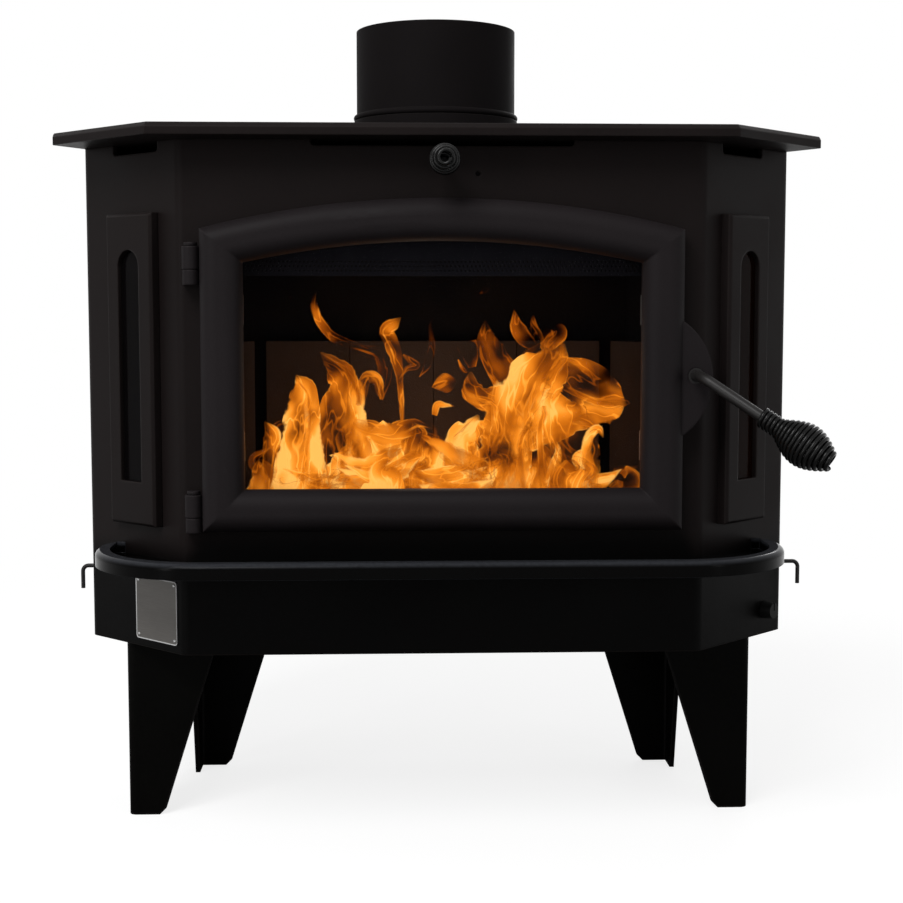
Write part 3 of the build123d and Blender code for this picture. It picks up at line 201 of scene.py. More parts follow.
def black_paint(name, colour, rubbed_and_highlight, roughness, gloss, skin_scale, skin_strength, skin_depth,
                edge=0.003, shade_below=None, rim_highlight_top=None):
    """Black paint: clouded tone, a fine skin, worn edges with a painted highlight, and painted shade low
    down.
    """
    paint = Finish(name, Specular_IOR_Level=gloss)
    height = paint.axis(paint.place, "Z")
    rounded, worn = paint.rounded_edges(edge)
    cloud = paint.noise(paint.place, 7.0, 5.0)
    fleck = paint.noise(paint.place, 260.0, 3.0)
    skin = paint.noise(paint.place, skin_scale, 3.0)
    tone = paint.step(cloud * 0.7 + fleck * 0.3, 0.3, 0.7)
    dusty = tuple(1.35 * part for part in colour[:3]) + (1.0,)
    coated = paint.blend(tone, colour, dusty)
    # A painted highlight along the top few millimetres, in the worn-edge colour.
    if rim_highlight_top:
        worn = worn.math("MAXIMUM", worn, paint.step(height, rim_highlight_top - 0.006, rim_highlight_top - 0.001))
    if shade_below:
        # Painted shade: below the given height the paint turns near black, ragged at its border and
        # reaching higher in the shade under the door.
        shade_under_door = paint.step(abs(paint.axis(paint.place, "X")), 0.30, 0.27)
        rise = height + (cloud - 0.5) * 0.02 - 0.026 * shade_under_door
        shade_share = paint.step(rise, shade_below + 0.02, shade_below - 0.02)
        coated = paint.blend(shade_share, coated, shade_black)
    # Lighter colour on worn edges: thin paint, and a painted highlight along the edges.
    paint.set("Base Color", paint.blend(worn * (0.4 + 0.6 * fleck), coated, rubbed_and_highlight))
    paint.set("Roughness", roughness - 0.07 + 0.14 * tone - 0.12 * worn)
    paint.relief(skin, skin_strength, skin_depth, rounded)
    return paint


# Near black, for the painted shade low down on the body.
shade_black = (0.0006, 0.0005, 0.0005, 1)
stove_paint = black_paint(
    "stove_paint",
    colour=(0.0068, 0.0050, 0.0049, 1),
    rubbed_and_highlight=(0.021, 0.017, 0.016, 1),
    roughness=0.50,
    gloss=0.045,
    skin_scale=900.0,
    skin_strength=0.35,
    skin_depth=0.0003,
    # Painted shade below this height, under the ash shelf.
    shade_below=0.33,
)
stove_paint.coat("body_shell", "top_plate", "bottom_plate", "rear_panel")

# Firebox: five plates of bare steel, welded, with the baffle and the bypass damper under its roof.
# Heat has left the steel blue-black and patchy, with fine scale and soot.
hot_steel = Finish("hot_steel", Specular_IOR_Level=0.05)
soot = hot_steel.noise(hot_steel.place, 6.0, 6.0)
scale = hot_steel.noise(hot_steel.place, 320.0, 4.0)
sooty = hot_steel.step(soot, 0.35, 0.65)
blue_black = (0.0030, 0.0030, 0.0042, 1)
soot_grey = (0.0075, 0.0066, 0.0066, 1)
hot_steel.set("Base Color", hot_steel.blend(sooty, blue_black, soot_grey))
hot_steel.set("Roughness", 0.62 + 0.25 * scale)
hot_steel.relief(scale, 0.35, 0.0006)
hot_steel.coat(
    "firebox_floor", "firebox_roof", "firebox_walls", "baffle", "damper_plate", "damper_rails",
    "air_guides", "air_shutter_left", "air_shutter_right",
)

# Firebricks: pressed and fired clay splits, dry-laid on the firebox floor and stood against its
# sides and back. Brown from years of smoke, grainy, with darker soot towards the top.
firebrick = Finish("firebrick", Specular_IOR_Level=0.1)
brick_height = firebrick.axis(firebrick.place, "Z")
smoke = firebrick.step(brick_height + firebrick.noise(firebrick.place, 9.0, 4.0) * 0.08, 0.40, 0.66)
grit = firebrick.noise(firebrick.place, 420.0, 4.0)
pits = firebrick.node("ShaderNodeTexVoronoi", {}, {"Vector": firebrick.place, "Scale": 260.0})
stain = firebrick.step(firebrick.noise(firebrick.place, 14.0, 5.0), 0.35, 0.7)
clay = firebrick.blend(stain, (0.062, 0.049, 0.042, 1), (0.046, 0.037, 0.033, 1))
clay = firebrick.blend(smoke * 0.55, clay, (0.030, 0.025, 0.023, 1))
clay = firebrick.blend(firebrick.step(grit, 0.55, 0.8) * 0.4, clay, (0.085, 0.068, 0.058, 1))
firebrick.set("Base Color", clay)
firebrick.set("Roughness", 0.8 + 0.15 * grit)
firebrick.relief(grit + firebrick.step(pits, 0.0, 0.25) * 0.6, 0.5, 0.0009)
firebrick.coat("bricks_floor", "bricks_back", "bricks_left", "bricks_right")

# Combustor: a block of extruded ceramic honeycomb that hangs in the baffle and burns the smoke.
# Buff, with brown scorching.
ceramic = Finish("ceramic", Specular_IOR_Level=0.2, Roughness=0.85)
scorch = ceramic.step(ceramic.noise(ceramic.place, 30.0, 4.0), 0.4, 0.7)
ceramic.set("Base Color", ceramic.blend(scorch, (0.34, 0.30, 0.25, 1), (0.17, 0.13, 0.10, 1)))
ceramic.relief(ceramic.noise(ceramic.place, 700.0), 0.3, 0.0004)
ceramic.coat("combustor")


# Air-wash guard: an angle of perforated sheet welded behind the head of the fire mouth. Three
# staggered rows of small round holes let warm air down over the glass.
class Shape(Tree):
    """A geometry tree with named sizes, run once on an empty mesh."""

    def __init__(self, name, sizes):
        super().__init__(bpy.data.node_groups.new(name, "GeometryNodeTree"))
        sockets = self.nodes.interface
        sockets.new_socket("Geometry", in_out="OUTPUT", socket_type="NodeSocketGeometry")
        self.sizes = sizes
        self.inputs = {}
        for size, value in sizes.items():
            kind = "NodeSocketInt" if isinstance(value, int) else "NodeSocketFloat"
            self.inputs[size] = sockets.new_socket(size, in_out="INPUT", socket_type=kind).identifier
        self.entry = self.nodes.nodes.new("NodeGroupInput")

    def size(self, name):
        return Wire(self, self.entry.outputs[name])

    def vector(self, x, y, z):
        return self.node("ShaderNodeCombineXYZ", {}, {"X": x, "Y": y, "Z": z})

    def joined(self, *parts):
        made = self.nodes.nodes.new("GeometryNodeJoinGeometry")
        for part in reversed(parts):
            self.nodes.links.new(part.socket, made.inputs[0])
        return Wire(self, made.outputs[0])

    def close(self, shape, material, smooth):
        """Ends the tree: real mesh, shading and finish."""
        shape = self.node("GeometryNodeRealizeInstances", {}, {"Geometry": shape})
        shape = self.node("GeometryNodeSetShadeSmooth", {}, {"Geometry": shape, "Shade Smooth": smooth})
        shape = self.node("GeometryNodeSetMaterial", {}, {"Geometry": shape, "Material": material})
        exit_node = self.nodes.nodes.new("NodeGroupOutput")
        self.nodes.links.new(shape.socket, exit_node.inputs[0])

    def made(self, name, place, **changed):
        """Bakes the tree to a plain mesh, put in its place."""
        piece = bpy.data.objects.new(name, bpy.data.meshes.new(name))
        bpy.context.scene.collection.objects.link(piece)
        run = piece.modifiers.new("shape", "NODES")
        run.node_group = self.nodes
        for size, value in {**self.sizes, **changed}.items():
            run[self.inputs[size]] = value
        graph = bpy.context.evaluated_depsgraph_get()
        mesh = bpy.data.meshes.new_from_object(piece.evaluated_get(graph), depsgraph=graph)
        piece.modifiers.clear()
        mesh.transform(place)
        piece.data = mesh
        return piece


guard_low, guard_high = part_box("air_wash_guard")
guard_middle = (guard_low + guard_high) / 2
guard_size = guard_high - guard_low
guard_sheet = 0.002
guard_plain_ends = 0.014
hole_pitch = 0.0048
perforated = Shape(
    "perforated_strip",
    {
        "Width": guard_size.x,
        "Height": guard_size.z,
        "Sheet": guard_sheet,
        "Hole": 0.0028,
        "Pitch": hole_pitch,
        "Row pitch": 0.0052,
        "Rows": 3,
        "Columns": int((guard_size.x - guard_plain_ends) / hole_pitch),
        "Lowest row": 0.006,
        "Foot": guard_size.y - guard_sheet,
    },
)
p_size = perforated.size
strip = perforated.node(
    "GeometryNodeCurvePrimitiveQuadrilateral",
    {},
    {"Width": p_size("Width"), "Height": p_size("Height")},
)
hole_grid = perforated.node(
    "GeometryNodeMeshGrid",
    {},
    {
        "Size X": (p_size("Columns") - 1) * p_size("Pitch"),
        "Size Y": (p_size("Rows") - 1) * p_size("Row pitch"),
        "Vertices X": p_size("Columns"),
        "Vertices Y": p_size("Rows"),
    },
)
hole_index = perforated.node("GeometryNodeInputIndex", {}, {})
stagger = (hole_index % p_size("Rows") % 2 - 0.5) * p_size("Pitch") * 0.5
rows_half = (p_size("Rows") - 1) * p_size("Row pitch") * 0.5
row_middle = p_size("Lowest row") + rows_half - p_size("Height") * 0.5
hole_places = perforated.node(
    "GeometryNodeSetPosition",
    {},
    {"Geometry": hole_grid, "Offset": perforated.vector(stagger, row_middle, 0.0)},
)
hole_ring = perforated.node(
    "GeometryNodeCurvePrimitiveCircle", {}, {"Resolution": 10, "Radius": p_size("Hole") * 0.5}
)
holes = perforated.node(
    "GeometryNodeInstanceOnPoints", {}, {"Points": hole_places, "Instance": hole_ring}
)
holes = perforated.node("GeometryNodeRealizeInstances", {}, {"Geometry": holes})
sheet_face = perforated.node("GeometryNodeFillCurve", {}, {"Curve": perforated.joined(strip, holes)})
sheet_front = perforated.node(
    "GeometryNodeExtrudeMesh",
    {},
    {"Mesh": sheet_face, "Offset Scale": p_size("Sheet"), "Individual": False},
)
sheet_back = perforated.node("GeometryNodeFlipFaces", {}, {"Mesh": sheet_face})
flange_block = perforated.node(
    "GeometryNodeMeshCube",
    {},
    {"Size": perforated.vector(p_size("Width"), p_size("Sheet"), p_size("Foot"))},
)
flange = perforated.node(
    "GeometryNodeTransform",
    {},
    {
        "Geometry": flange_block,
        "Translation": perforated.vector(
            0.0, (p_size("Height") - p_size("Sheet")) * 0.5, p_size("Sheet") + p_size("Foot") * 0.5
        ),
    },
)
guard_steel = Finish("guard_steel", Specular_IOR_Level=0.05)
bloom = guard_steel.noise(guard_steel.place, 40.0, 4.0)
blue_shade = (0.0085, 0.0080, 0.0110, 1)
blue_bloom = (0.0190, 0.0180, 0.0235, 1)
guard_steel.set("Base Color", guard_steel.blend(bloom, blue_shade, blue_bloom))
guard_steel.set("Roughness", 0.45 + 0.25 * bloom)
guard_steel.relief(guard_steel.noise(guard_steel.place, 800.0), 0.2, 0.0002)
perforated.close(
    perforated.node(
        "GeometryNodeMergeByDistance",
        {},
        {"Geometry": perforated.joined(sheet_front, sheet_back, flange), "Distance": 0.00001},
    ),
    guard_steel.material,
    False,
)
guard_place = Matrix.Translation((guard_middle.x, guard_high.y, guard_middle.z))
air_wash_guard = perforated.made("perforated_guard", guard_place @ Matrix.Rotation(math.pi / 2, 4, "X"))
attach(air_wash_guard, "stove")
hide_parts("air_wash_guard")

# Flue: a rolled collar on the firebox roof, and the first length of stove pipe that drops into it
# until its bead lands on the collar. Smooth rolled sheet with a thinner coat of the same paint.
pipe_paint = black_paint(
    "pipe_paint",
    colour=(0.0058, 0.0049, 0.0051, 1),
    rubbed_and_highlight=(0.018, 0.016, 0.015, 1),
    roughness=0.62,
    gloss=0.02,
    skin_scale=1500.0,
    skin_strength=0.16,
    skin_depth=0.0002,
    edge=0.001,
)
pipe_paint.coat("flue_pipe", "flue_collar")

# Legs and ash shelf: bent and welded plate under the body, bolted on through flanges. The paint is
# the body's, glossier, and painted darker as shade low down. A painted highlight runs along the top
# of the rim.
leg_paint = black_paint(
    "leg_paint",
    # Much darker than the body's paint: painted shade low under the stove.
    colour=(0.0019, 0.0018, 0.0016, 1),
    rubbed_and_highlight=(0.022, 0.020, 0.020, 1),
    roughness=0.30,
    gloss=0.03,
    skin_scale=900.0,
    skin_strength=0.2,
    skin_depth=0.0003,
    edge=0.006,
)
leg_paint.coat("leg_front_left", "leg_front_right", "leg_rear_left", "leg_rear_right")
shelf_paint = black_paint(
    "shelf_paint",
    # Near black: painted shade on the shelf under the door.
    colour=(0.0008, 0.0007, 0.0007, 1),
    # Bluish: the painted highlight on the rim top and on the edges.
    rubbed_and_highlight=(0.036, 0.038, 0.044, 1),
    roughness=0.22,
    gloss=0.03,
    skin_scale=900.0,
    skin_strength=0.15,
    skin_depth=0.0003,
    edge=0.001,
    rim_highlight_top=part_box("ash_shelf")[1].z,
)
shelf_paint.coat("ash_shelf")

# Side windows: a thick plate with an arched slot on each angled corner, a pane of smoked ceramic
# glass behind it and a flat woven seal round the pane.
stove_paint.coat("window_frame_left", "window_frame_right")
smoked_glass = Finish("smoked_glass", Specular_IOR_Level=0.02, Alpha=0.88)
streaked = smoked_glass.stretched(smoked_glass.place, (9.0, 9.0, 2.0))
sear = smoked_glass.step(smoked_glass.noise(streaked, 1.0, 3.0), 0.3, 0.7)
smoky = smoked_glass.blend(sear, (0.0022, 0.0018, 0.0020, 1), (0.0040, 0.0030, 0.0032, 1))
browned = smoked_glass.blend(sear, (0.0060, 0.0020, 0.0013, 1), (0.0110, 0.0034, 0.0018, 1))
right_hand = smoked_glass.step(smoked_glass.axis(smoked_glass.place, "X"), -0.1, 0.1)
smoked_glass.set("Base Color", smoked_glass.blend(right_hand, smoky, browned))
smoked_glass.set("Roughness", 0.12 + 0.12 * sear)
smoked_glass.coat("window_glass_left", "window_glass_right")

rope_seal = Finish("rope_seal", Specular_IOR_Level=0.1, Roughness=0.95)
strands = rope_seal.node(
    "ShaderNodeTexWave",
    {"bands_direction": "DIAGONAL"},
    {"Vector": rope_seal.place, "Scale": 260.0, "Distortion": 1.5},
)
rope_seal.set("Base Color", rope_seal.blend(strands, (0.028, 0.027, 0.026, 1), (0.095, 0.092, 0.088, 1)))
rope_seal.relief(strands, 0.7, 0.0008)
rope_seal.coat("window_gasket_left", "window_gasket_right", "glass_gasket", "door_rope")

# Door: an iron casting with a rounded moulding that meets in mitres, and a latch ear on its right
# edge. Cast skin shows through the paint as a fine pebble.
cast_paint = black_paint(
    "cast_paint",
    colour=(0.0098, 0.0080, 0.0086, 1),
    rubbed_and_highlight=(0.022, 0.018, 0.019, 1),
    roughness=0.58,
    gloss=0.06,
    skin_scale=420.0,
    skin_strength=0.45,
    skin_depth=0.0005,
)
cast_paint.coat("door_frame", "door_knuckles", "hinge_lugs", "hinge_pins")

# Door glass: a clear ceramic pane on a flat seal, held in the door by clips. It is faintly smoked at
# its edges, where the air wash doesn't reach.
clear_glass = Finish("clear_glass", Specular_IOR_Level=0.03, Roughness=0.06)
glass_low, glass_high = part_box("door_glass")
glass_middle = (glass_low + glass_high) / 2
from_middle = clear_glass.node(
    "ShaderNodeMapping",
    {"vector_type": "TEXTURE"},
    {
        "Vector": clear_glass.place,
        "Location": glass_middle,
        "Scale": ((glass_high.x - glass_low.x) / 2, 1.0, (glass_high.z - glass_low.z) / 2),
    },
)
sideways = abs(clear_glass.axis(from_middle, "X"))
upwards = abs(clear_glass.axis(from_middle, "Z"))
rim_smoke = clear_glass.step(sideways**6.0 + upwards**6.0, 0.35, 1.3)
clean_pane = (0.0008, 0.0008, 0.0012, 1)
smoked_pane = (0.004, 0.003, 0.003, 1)
clear_glass.set("Base Color", clear_glass.blend(rim_smoke, clean_pane, smoked_pane))
clear_glass.set("Alpha", 0.10 + 0.25 * rim_smoke)
clear_glass.coat("door_glass")

# Latch cam, keeper, clips, screws and nut: small steel fittings inside the door, zinc plated, with
# the faint clouding of plate that has been hot. The leg bolts are painted with the legs.
plated = Finish("plated_steel", Metallic=1.0)
haze = plated.noise(plated.place, 60.0, 4.0)
plated.set("Base Color", plated.blend(haze, (0.20, 0.19, 0.18, 1), (0.38, 0.37, 0.35, 1)))
plated.set("Roughness", 0.32 + 0.25 * haze)
plated.relief(plated.noise(plated.place, 1200.0), 0.15, 0.0001)
plated.coat("latch_cam", "keeper_stud", "glass_clips", "clip_screws", "cam_nut")
leg_paint.coat("leg_bolts")

# Handle: round bar bent out of the latch ear, with a hand-wound spring of steel wire screwed on
# its end, tight on the bar and swelling to a bulb that stays cool.
rod_paint = Finish("rod_paint", Specular_IOR_Level=0.18)
rod_haze = rod_paint.noise(rod_paint.place, 45.0, 4.0)
rod_black = (0.0085, 0.0078, 0.0076, 1)
rod_grey = (0.0165, 0.0150, 0.0145, 1)
rod_paint.set("Base Color", rod_paint.blend(rod_haze, rod_black, rod_grey))
rod_paint.set("Roughness", 0.30 + 0.15 * rod_haze)
rod_paint.relief(rod_paint.noise(rod_paint.place, 900.0), 0.15, 0.0002)
rod_paint.coat("handle_shaft", "handle_bushing", "bypass_rod", "air_rod_left", "air_rod_right")

coil_wire = Finish("coil_wire", Specular_IOR_Level=0.15)
scratch = coil_wire.noise(coil_wire.place, 500.0, 3.0)
wire_black = (0.0022, 0.0022, 0.0022, 1)
wire_grey = (0.0060, 0.0059, 0.0058, 1)
coil_wire.set("Base Color", coil_wire.blend(scratch, wire_black, wire_grey))
coil_wire.set("Roughness", 0.13 + 0.12 * scratch)
coil_wire.relief(scratch, 0.1, 0.0001)

coil = Shape(
    "coil_grip",
    {
        "Length": 0.097,
        "Turns": 18,
        "Neck": 0.024,
        "Neck radius": 0.0118,
        "Bulb radius": 0.0250,
        "End radius": 0.0108,
        "Wire": 0.0051,
        "Steps": 30,
    },
)
c_size = coil.size
coil_steps = c_size("Turns") * c_size("Steps")
coil_line = coil.node("GeometryNodeMeshLine", {}, {"Count": coil_steps + 1})
coil_share = coil.node("GeometryNodeInputIndex", {}, {}) / coil_steps
usable = c_size("Length") - c_size("Wire")
coil_along = usable * coil_share
past_neck = (coil_along - c_size("Neck")) / (usable - c_size("Neck"))
bulb_share = coil.node("ShaderNodeClamp", {}, {"Value": past_neck})
plain_radius = c_size("Neck radius") + (c_size("End radius") - c_size("Neck radius")) * bulb_share
swell = coil_share.math("SINE", bulb_share * math.pi)
coil_radius = plain_radius + (c_size("Bulb radius") - plain_radius) * swell - c_size("Wire") * 0.5
coil_turn = coil_share * c_size("Turns") * (2 * math.pi)
coil_points = coil.node(
    "GeometryNodeSetPosition",
    {},
    {
        "Geometry": coil_line,
        "Position": coil.vector(
            coil_turn.math("COSINE", coil_turn) * coil_radius,
            coil_turn.math("SINE", coil_turn) * coil_radius,
            coil_along + c_size("Wire") * 0.5,
        ),
    },
)
coil_path = coil.node("GeometryNodeMeshToCurve", {}, {"Mesh": coil_points})
wire_section = coil.node(
    "GeometryNodeCurvePrimitiveCircle", {}, {"Resolution": 10, "Radius": c_size("Wire") * 0.5}
)
wound_wire = coil.node(
    "GeometryNodeCurveToMesh",
    {},
    {"Curve": coil_path, "Profile Curve": wire_section, "Fill Caps": True},
)
coil.close(wound_wire, coil_wire.material, True)


def wound(name, start, way, body, node, **sizes):
    """Puts a coil grip on its rod and lets it stand for the plain solid."""
    turned = Vector((0, 0, 1)).rotation_difference(way).to_matrix().to_4x4()
    grip = coil.made(name, Matrix.Translation(start) @ turned, **sizes)
    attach(grip, body)
    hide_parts(node)


handle_out = 0.064
handle_rod = 0.0785
handle_lean = math.radians(27.6)
handle_dip = math.radians(35.5)
handle_way = Vector(
    (
        math.cos(handle_lean) * math.cos(handle_dip),
        -math.sin(handle_lean),
        -math.cos(handle_lean) * math.sin(handle_dip),
    )
)
bushing_low, bushing_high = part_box("handle_bushing")
handle_bend = (bushing_low + bushing_high) / 2
handle_bend.y = front_y - handle_out
handle_end = handle_bend + handle_way * handle_rod
wound("handle_coil", handle_end, handle_way, "handle", "handle_grip")

# Bypass pull: a straight rod through the front plate with a smaller spring of the same wire on
# its end. Pulled out, it slides the damper off the flue.
bypass_grip_out = 0.024
bypass_low, bypass_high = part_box("bypass_rod")
bypass_end = (bypass_low + bypass_high) / 2
bypass_end.y = front_y - bypass_grip_out
bypass_sizes = {
    "Length": 0.066,
    "Turns": 11,
    "Neck": 0.018,
    "Neck radius": 0.00895,
    "Bulb radius": 0.0175,
    "End radius": 0.0075,
    "Wire": 0.0042,
}
wound("bypass_coil", bypass_end, Vector((0, -1, 0)), "bypass", "bypass_grip", **bypass_sizes)

# Blower: sheet-metal scroll and drum wheel with a small motor, behind a slotted inlet at the back.
# Dull grey, dusty where the room air comes in. Its speed knob is moulded plastic.
blower_grey = Finish("blower_grey", Specular_IOR_Level=0.3, Metallic=0.2)
dust = blower_grey.step(blower_grey.noise(blower_grey.place, 25.0, 5.0), 0.35, 0.7)
sheet_grey = (0.060, 0.060, 0.062, 1)
dusty_grey = (0.105, 0.102, 0.098, 1)
blower_grey.set("Base Color", blower_grey.blend(dust, sheet_grey, dusty_grey))
blower_grey.set("Roughness", 0.5 + 0.3 * dust)
blower_grey.relief(blower_grey.noise(blower_grey.place, 600.0), 0.2, 0.0002)
blower_grey.coat("blower_wheel", "blower_scroll", "blower_motor")
stove_paint.coat("blower_grille")
plated.coat("blower_shaft")

knob_plastic = Finish("knob_plastic", Specular_IOR_Level=0.12)
mould = knob_plastic.noise(knob_plastic.place, 1400.0, 2.0)
knob_black = (0.0030, 0.0030, 0.0030, 1)
knob_grey = (0.0060, 0.0060, 0.0060, 1)
knob_plastic.set("Base Color", knob_plastic.blend(mould, knob_black, knob_grey))
knob_plastic.set("Roughness", 0.42 + 0.2 * mould)
knob_plastic.relief(mould, 0.2, 0.0002)
knob_plastic.coat("blower_knob", "speed_control")

# Blank plate: a thin grey anodised plate on the left-hand corner below the shelf, where a stove
# carries its rating. It is bare, with a bright milled rim and a small rivet at each corner.
corner_turn = math.radians(-45)
corner_x = -0.2995
plate_width = 0.078
plate_height = 0.075
plate_sheet = 0.0012
plate_corner = 0.004
plate_rim = 0.0012
plate_recess = 0.0003
plate_along = 0.051
plate_middle_z = 0.261
rivet_inset = 0.005
rivet_radius = 0.0021
corner_way = Vector((-math.cos(corner_turn), -math.sin(corner_turn), 0.0))
corner_out = Vector((math.sin(corner_turn), -math.cos(corner_turn), 0.0))
plate_middle = Vector((corner_x, front_y, plate_middle_z)) + corner_way * plate_along
plate_place = Matrix.Translation(plate_middle) @ Matrix(
    (
        (-corner_way.x, 0.0, corner_out.x, 0.0),
        (-corner_way.y, 0.0, corner_out.y, 0.0),
        (0.0, 1.0, 0.0, 0.0),
        (0.0, 0.0, 0.0, 1.0),
    )
)
anodised = Finish("anodised_plate", Metallic=0.2, Specular_IOR_Level=0.2)
brushed = anodised.noise(anodised.stretched(anodised.place, (60.0, 60.0, 1500.0)), 1.0, 3.0)
anodised.set("Base Color", anodised.blend(brushed, (0.105, 0.098, 0.091, 1), (0.175, 0.166, 0.155, 1)))
anodised.set("Roughness", 0.35 + 0.2 * brushed)
milled = Finish("milled_rim", Metallic=1.0)
milled_grain = milled.noise(milled.place, 900.0, 2.0)
milled.set("Base Color", milled.blend(milled_grain, (0.36, 0.36, 0.36, 1), (0.55, 0.55, 0.55, 1)))
milled.set("Roughness", 0.3 + 0.2 * milled_grain)
plate_mesh = bpy.data.meshes.new("blank_plate")
build = bmesh.new()
plate_block = Matrix.Diagonal((plate_width, plate_height, plate_sheet, 1))
plate_block = Matrix.Translation((0, 0, plate_sheet / 2)) @ plate_block
bmesh.ops.create_cube(build, size=1.0, matrix=plate_block)
upright = [edge for edge in build.edges if edge.verts[0].co.z != edge.verts[1].co.z]
bmesh.ops.bevel(build, geom=upright, offset=plate_corner, segments=5, affect="EDGES", profile=0.5)
front_face = max(build.faces, key=lambda face: face.calc_center_median().z)
bmesh.ops.inset_region(build, faces=[front_face], thickness=plate_rim, depth=-plate_recess)
for face in build.faces:
    face.material_index = 1
front_face.material_index = 0
build.to_mesh(plate_mesh)
build.free()
plate_mesh.transform(plate_place)
plate_mesh.materials.append(anodised.material)
plate_mesh.materials.append(milled.material)
blank_plate = bpy.data.objects.new("blank_plate", plate_mesh)
bpy.context.scene.collection.objects.link(blank_plate)
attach(blank_plate, "stove")

rivets = Shape(
    "corner_rivets",
    {
        "Across": plate_width - 2 * rivet_inset,
        "Up": plate_height - 2 * rivet_inset,
        "Head": rivet_radius,
    },
)
rivet_places = rivets.node(
    "GeometryNodeMeshGrid",
    {},
    {"Size X": rivets.size("Across"), "Size Y": rivets.size("Up"), "Vertices X": 2, "Vertices Y": 2},
)
rivet_head = rivets.node(
    "GeometryNodeMeshUVSphere", {}, {"Segments": 12, "Rings": 8, "Radius": rivets.size("Head")}
)
rivet_head = rivets.node(
    "GeometryNodeTransform", {}, {"Geometry": rivet_head, "Scale": (1.0, 1.0, 0.5)}
)
rivets.close(
    rivets.node("GeometryNodeInstanceOnPoints", {}, {"Points": rivet_places, "Instance": rivet_head}),
    milled.material,
    True,
)
plate_face = Matrix.Translation((0, 0, plate_sheet - plate_recess))
plate_rivets = rivets.made("plate_rivets", plate_place @ plate_face)
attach(plate_rivets, "stove")

# Fire: tongues of flame that rise in two groups from a low bed of embers on the brick floor. Each
# tongue is a thin closed veil, bright along its rim and its folds, fading to red at its tip.
fire_left = -0.2465
fire_foot = 0.383
fire_behind_front = 0.2
fire_depth = front_y + fire_behind_front
fire_unit = 0.00424
veil_margin = 1.5
veil_thickness = 0.14
fire_seed = random.Random(9)


def smooth_line(points, count):
    """Points spaced along a smooth curve through the given ones."""
    line = []
    ends = [points[0] * 2 - points[1], *points, points[-1] * 2 - points[-2]]
    for index in range(count):
        at = index / (count - 1) * (len(points) - 1)
        first = min(int(at), len(points) - 2)
        a, b, c, d = ends[first : first + 4]
        t = at - first
        bend = (2 * a - 5 * b + 4 * c - d) * t**2 + (3 * b - a - 3 * c + d) * t**3
        line.append(0.5 * (2 * b + (c - a) * t + bend))
    return line


def lick(build, spine, widths, depth, age, rings=26, sides=10):
    """Adds one tongue: a flat oval section carried along the spine, closed at both ends."""
    flow = build.verts.layers.float_vector["flow"]
    veil = build.verts.layers.float_vector["veil"]
    own = fire_seed.uniform(0, 40)
    sway = fire_seed.uniform(0.003, 0.010)
    phase = fire_seed.uniform(0, 6.28)
    line = smooth_line([Vector(point) * fire_unit for point in spine], rings)
    spread = smooth_line([Vector((width, 0)) * fire_unit for width in widths], rings)
    twist = fire_seed.uniform(-0.35, 0.35)
    travelled = 0.0
    rows = []
    for ring, (point, width) in enumerate(zip(line, spread)):
        along = ring / (rings - 1)
        before, after = line[max(ring - 1, 0)], line[min(ring + 1, rings - 1)]
        travelled += (point - before).length
        way = (after - before).normalized()
        drift = sway * math.sin(phase + 5 * along)
        middle = Vector((fire_left + point.x, depth + drift, fire_foot + point.y))
        turn = twist * along
        side = Vector((way.y * math.cos(turn), math.sin(turn), -way.x * math.cos(turn)))
        front = Vector((-way.y * math.sin(turn), math.cos(turn), way.x * math.sin(turn)))
        half = max(width.x * veil_margin / 2, 0.0008)
        row = []
        for step in range(sides):
            angle = 2 * math.pi * step / sides
            across = half * math.cos(angle)
            bulge = veil_thickness * half * math.sin(angle)
            vert = build.verts.new(middle + side * across + front * bulge)
            vert[flow] = (across, travelled, own)
            vert[veil] = (half, along, age)
            row.append(vert)
        rows.append(row)
    for low, high in zip(rows, rows[1:]):
        for step in range(sides):
            after = (step + 1) % sides
            build.faces.new((low[step], low[after], high[after], high[step])).smooth = True
    build.faces.new(list(reversed(rows[0])))
    build.faces.new(rows[-1])


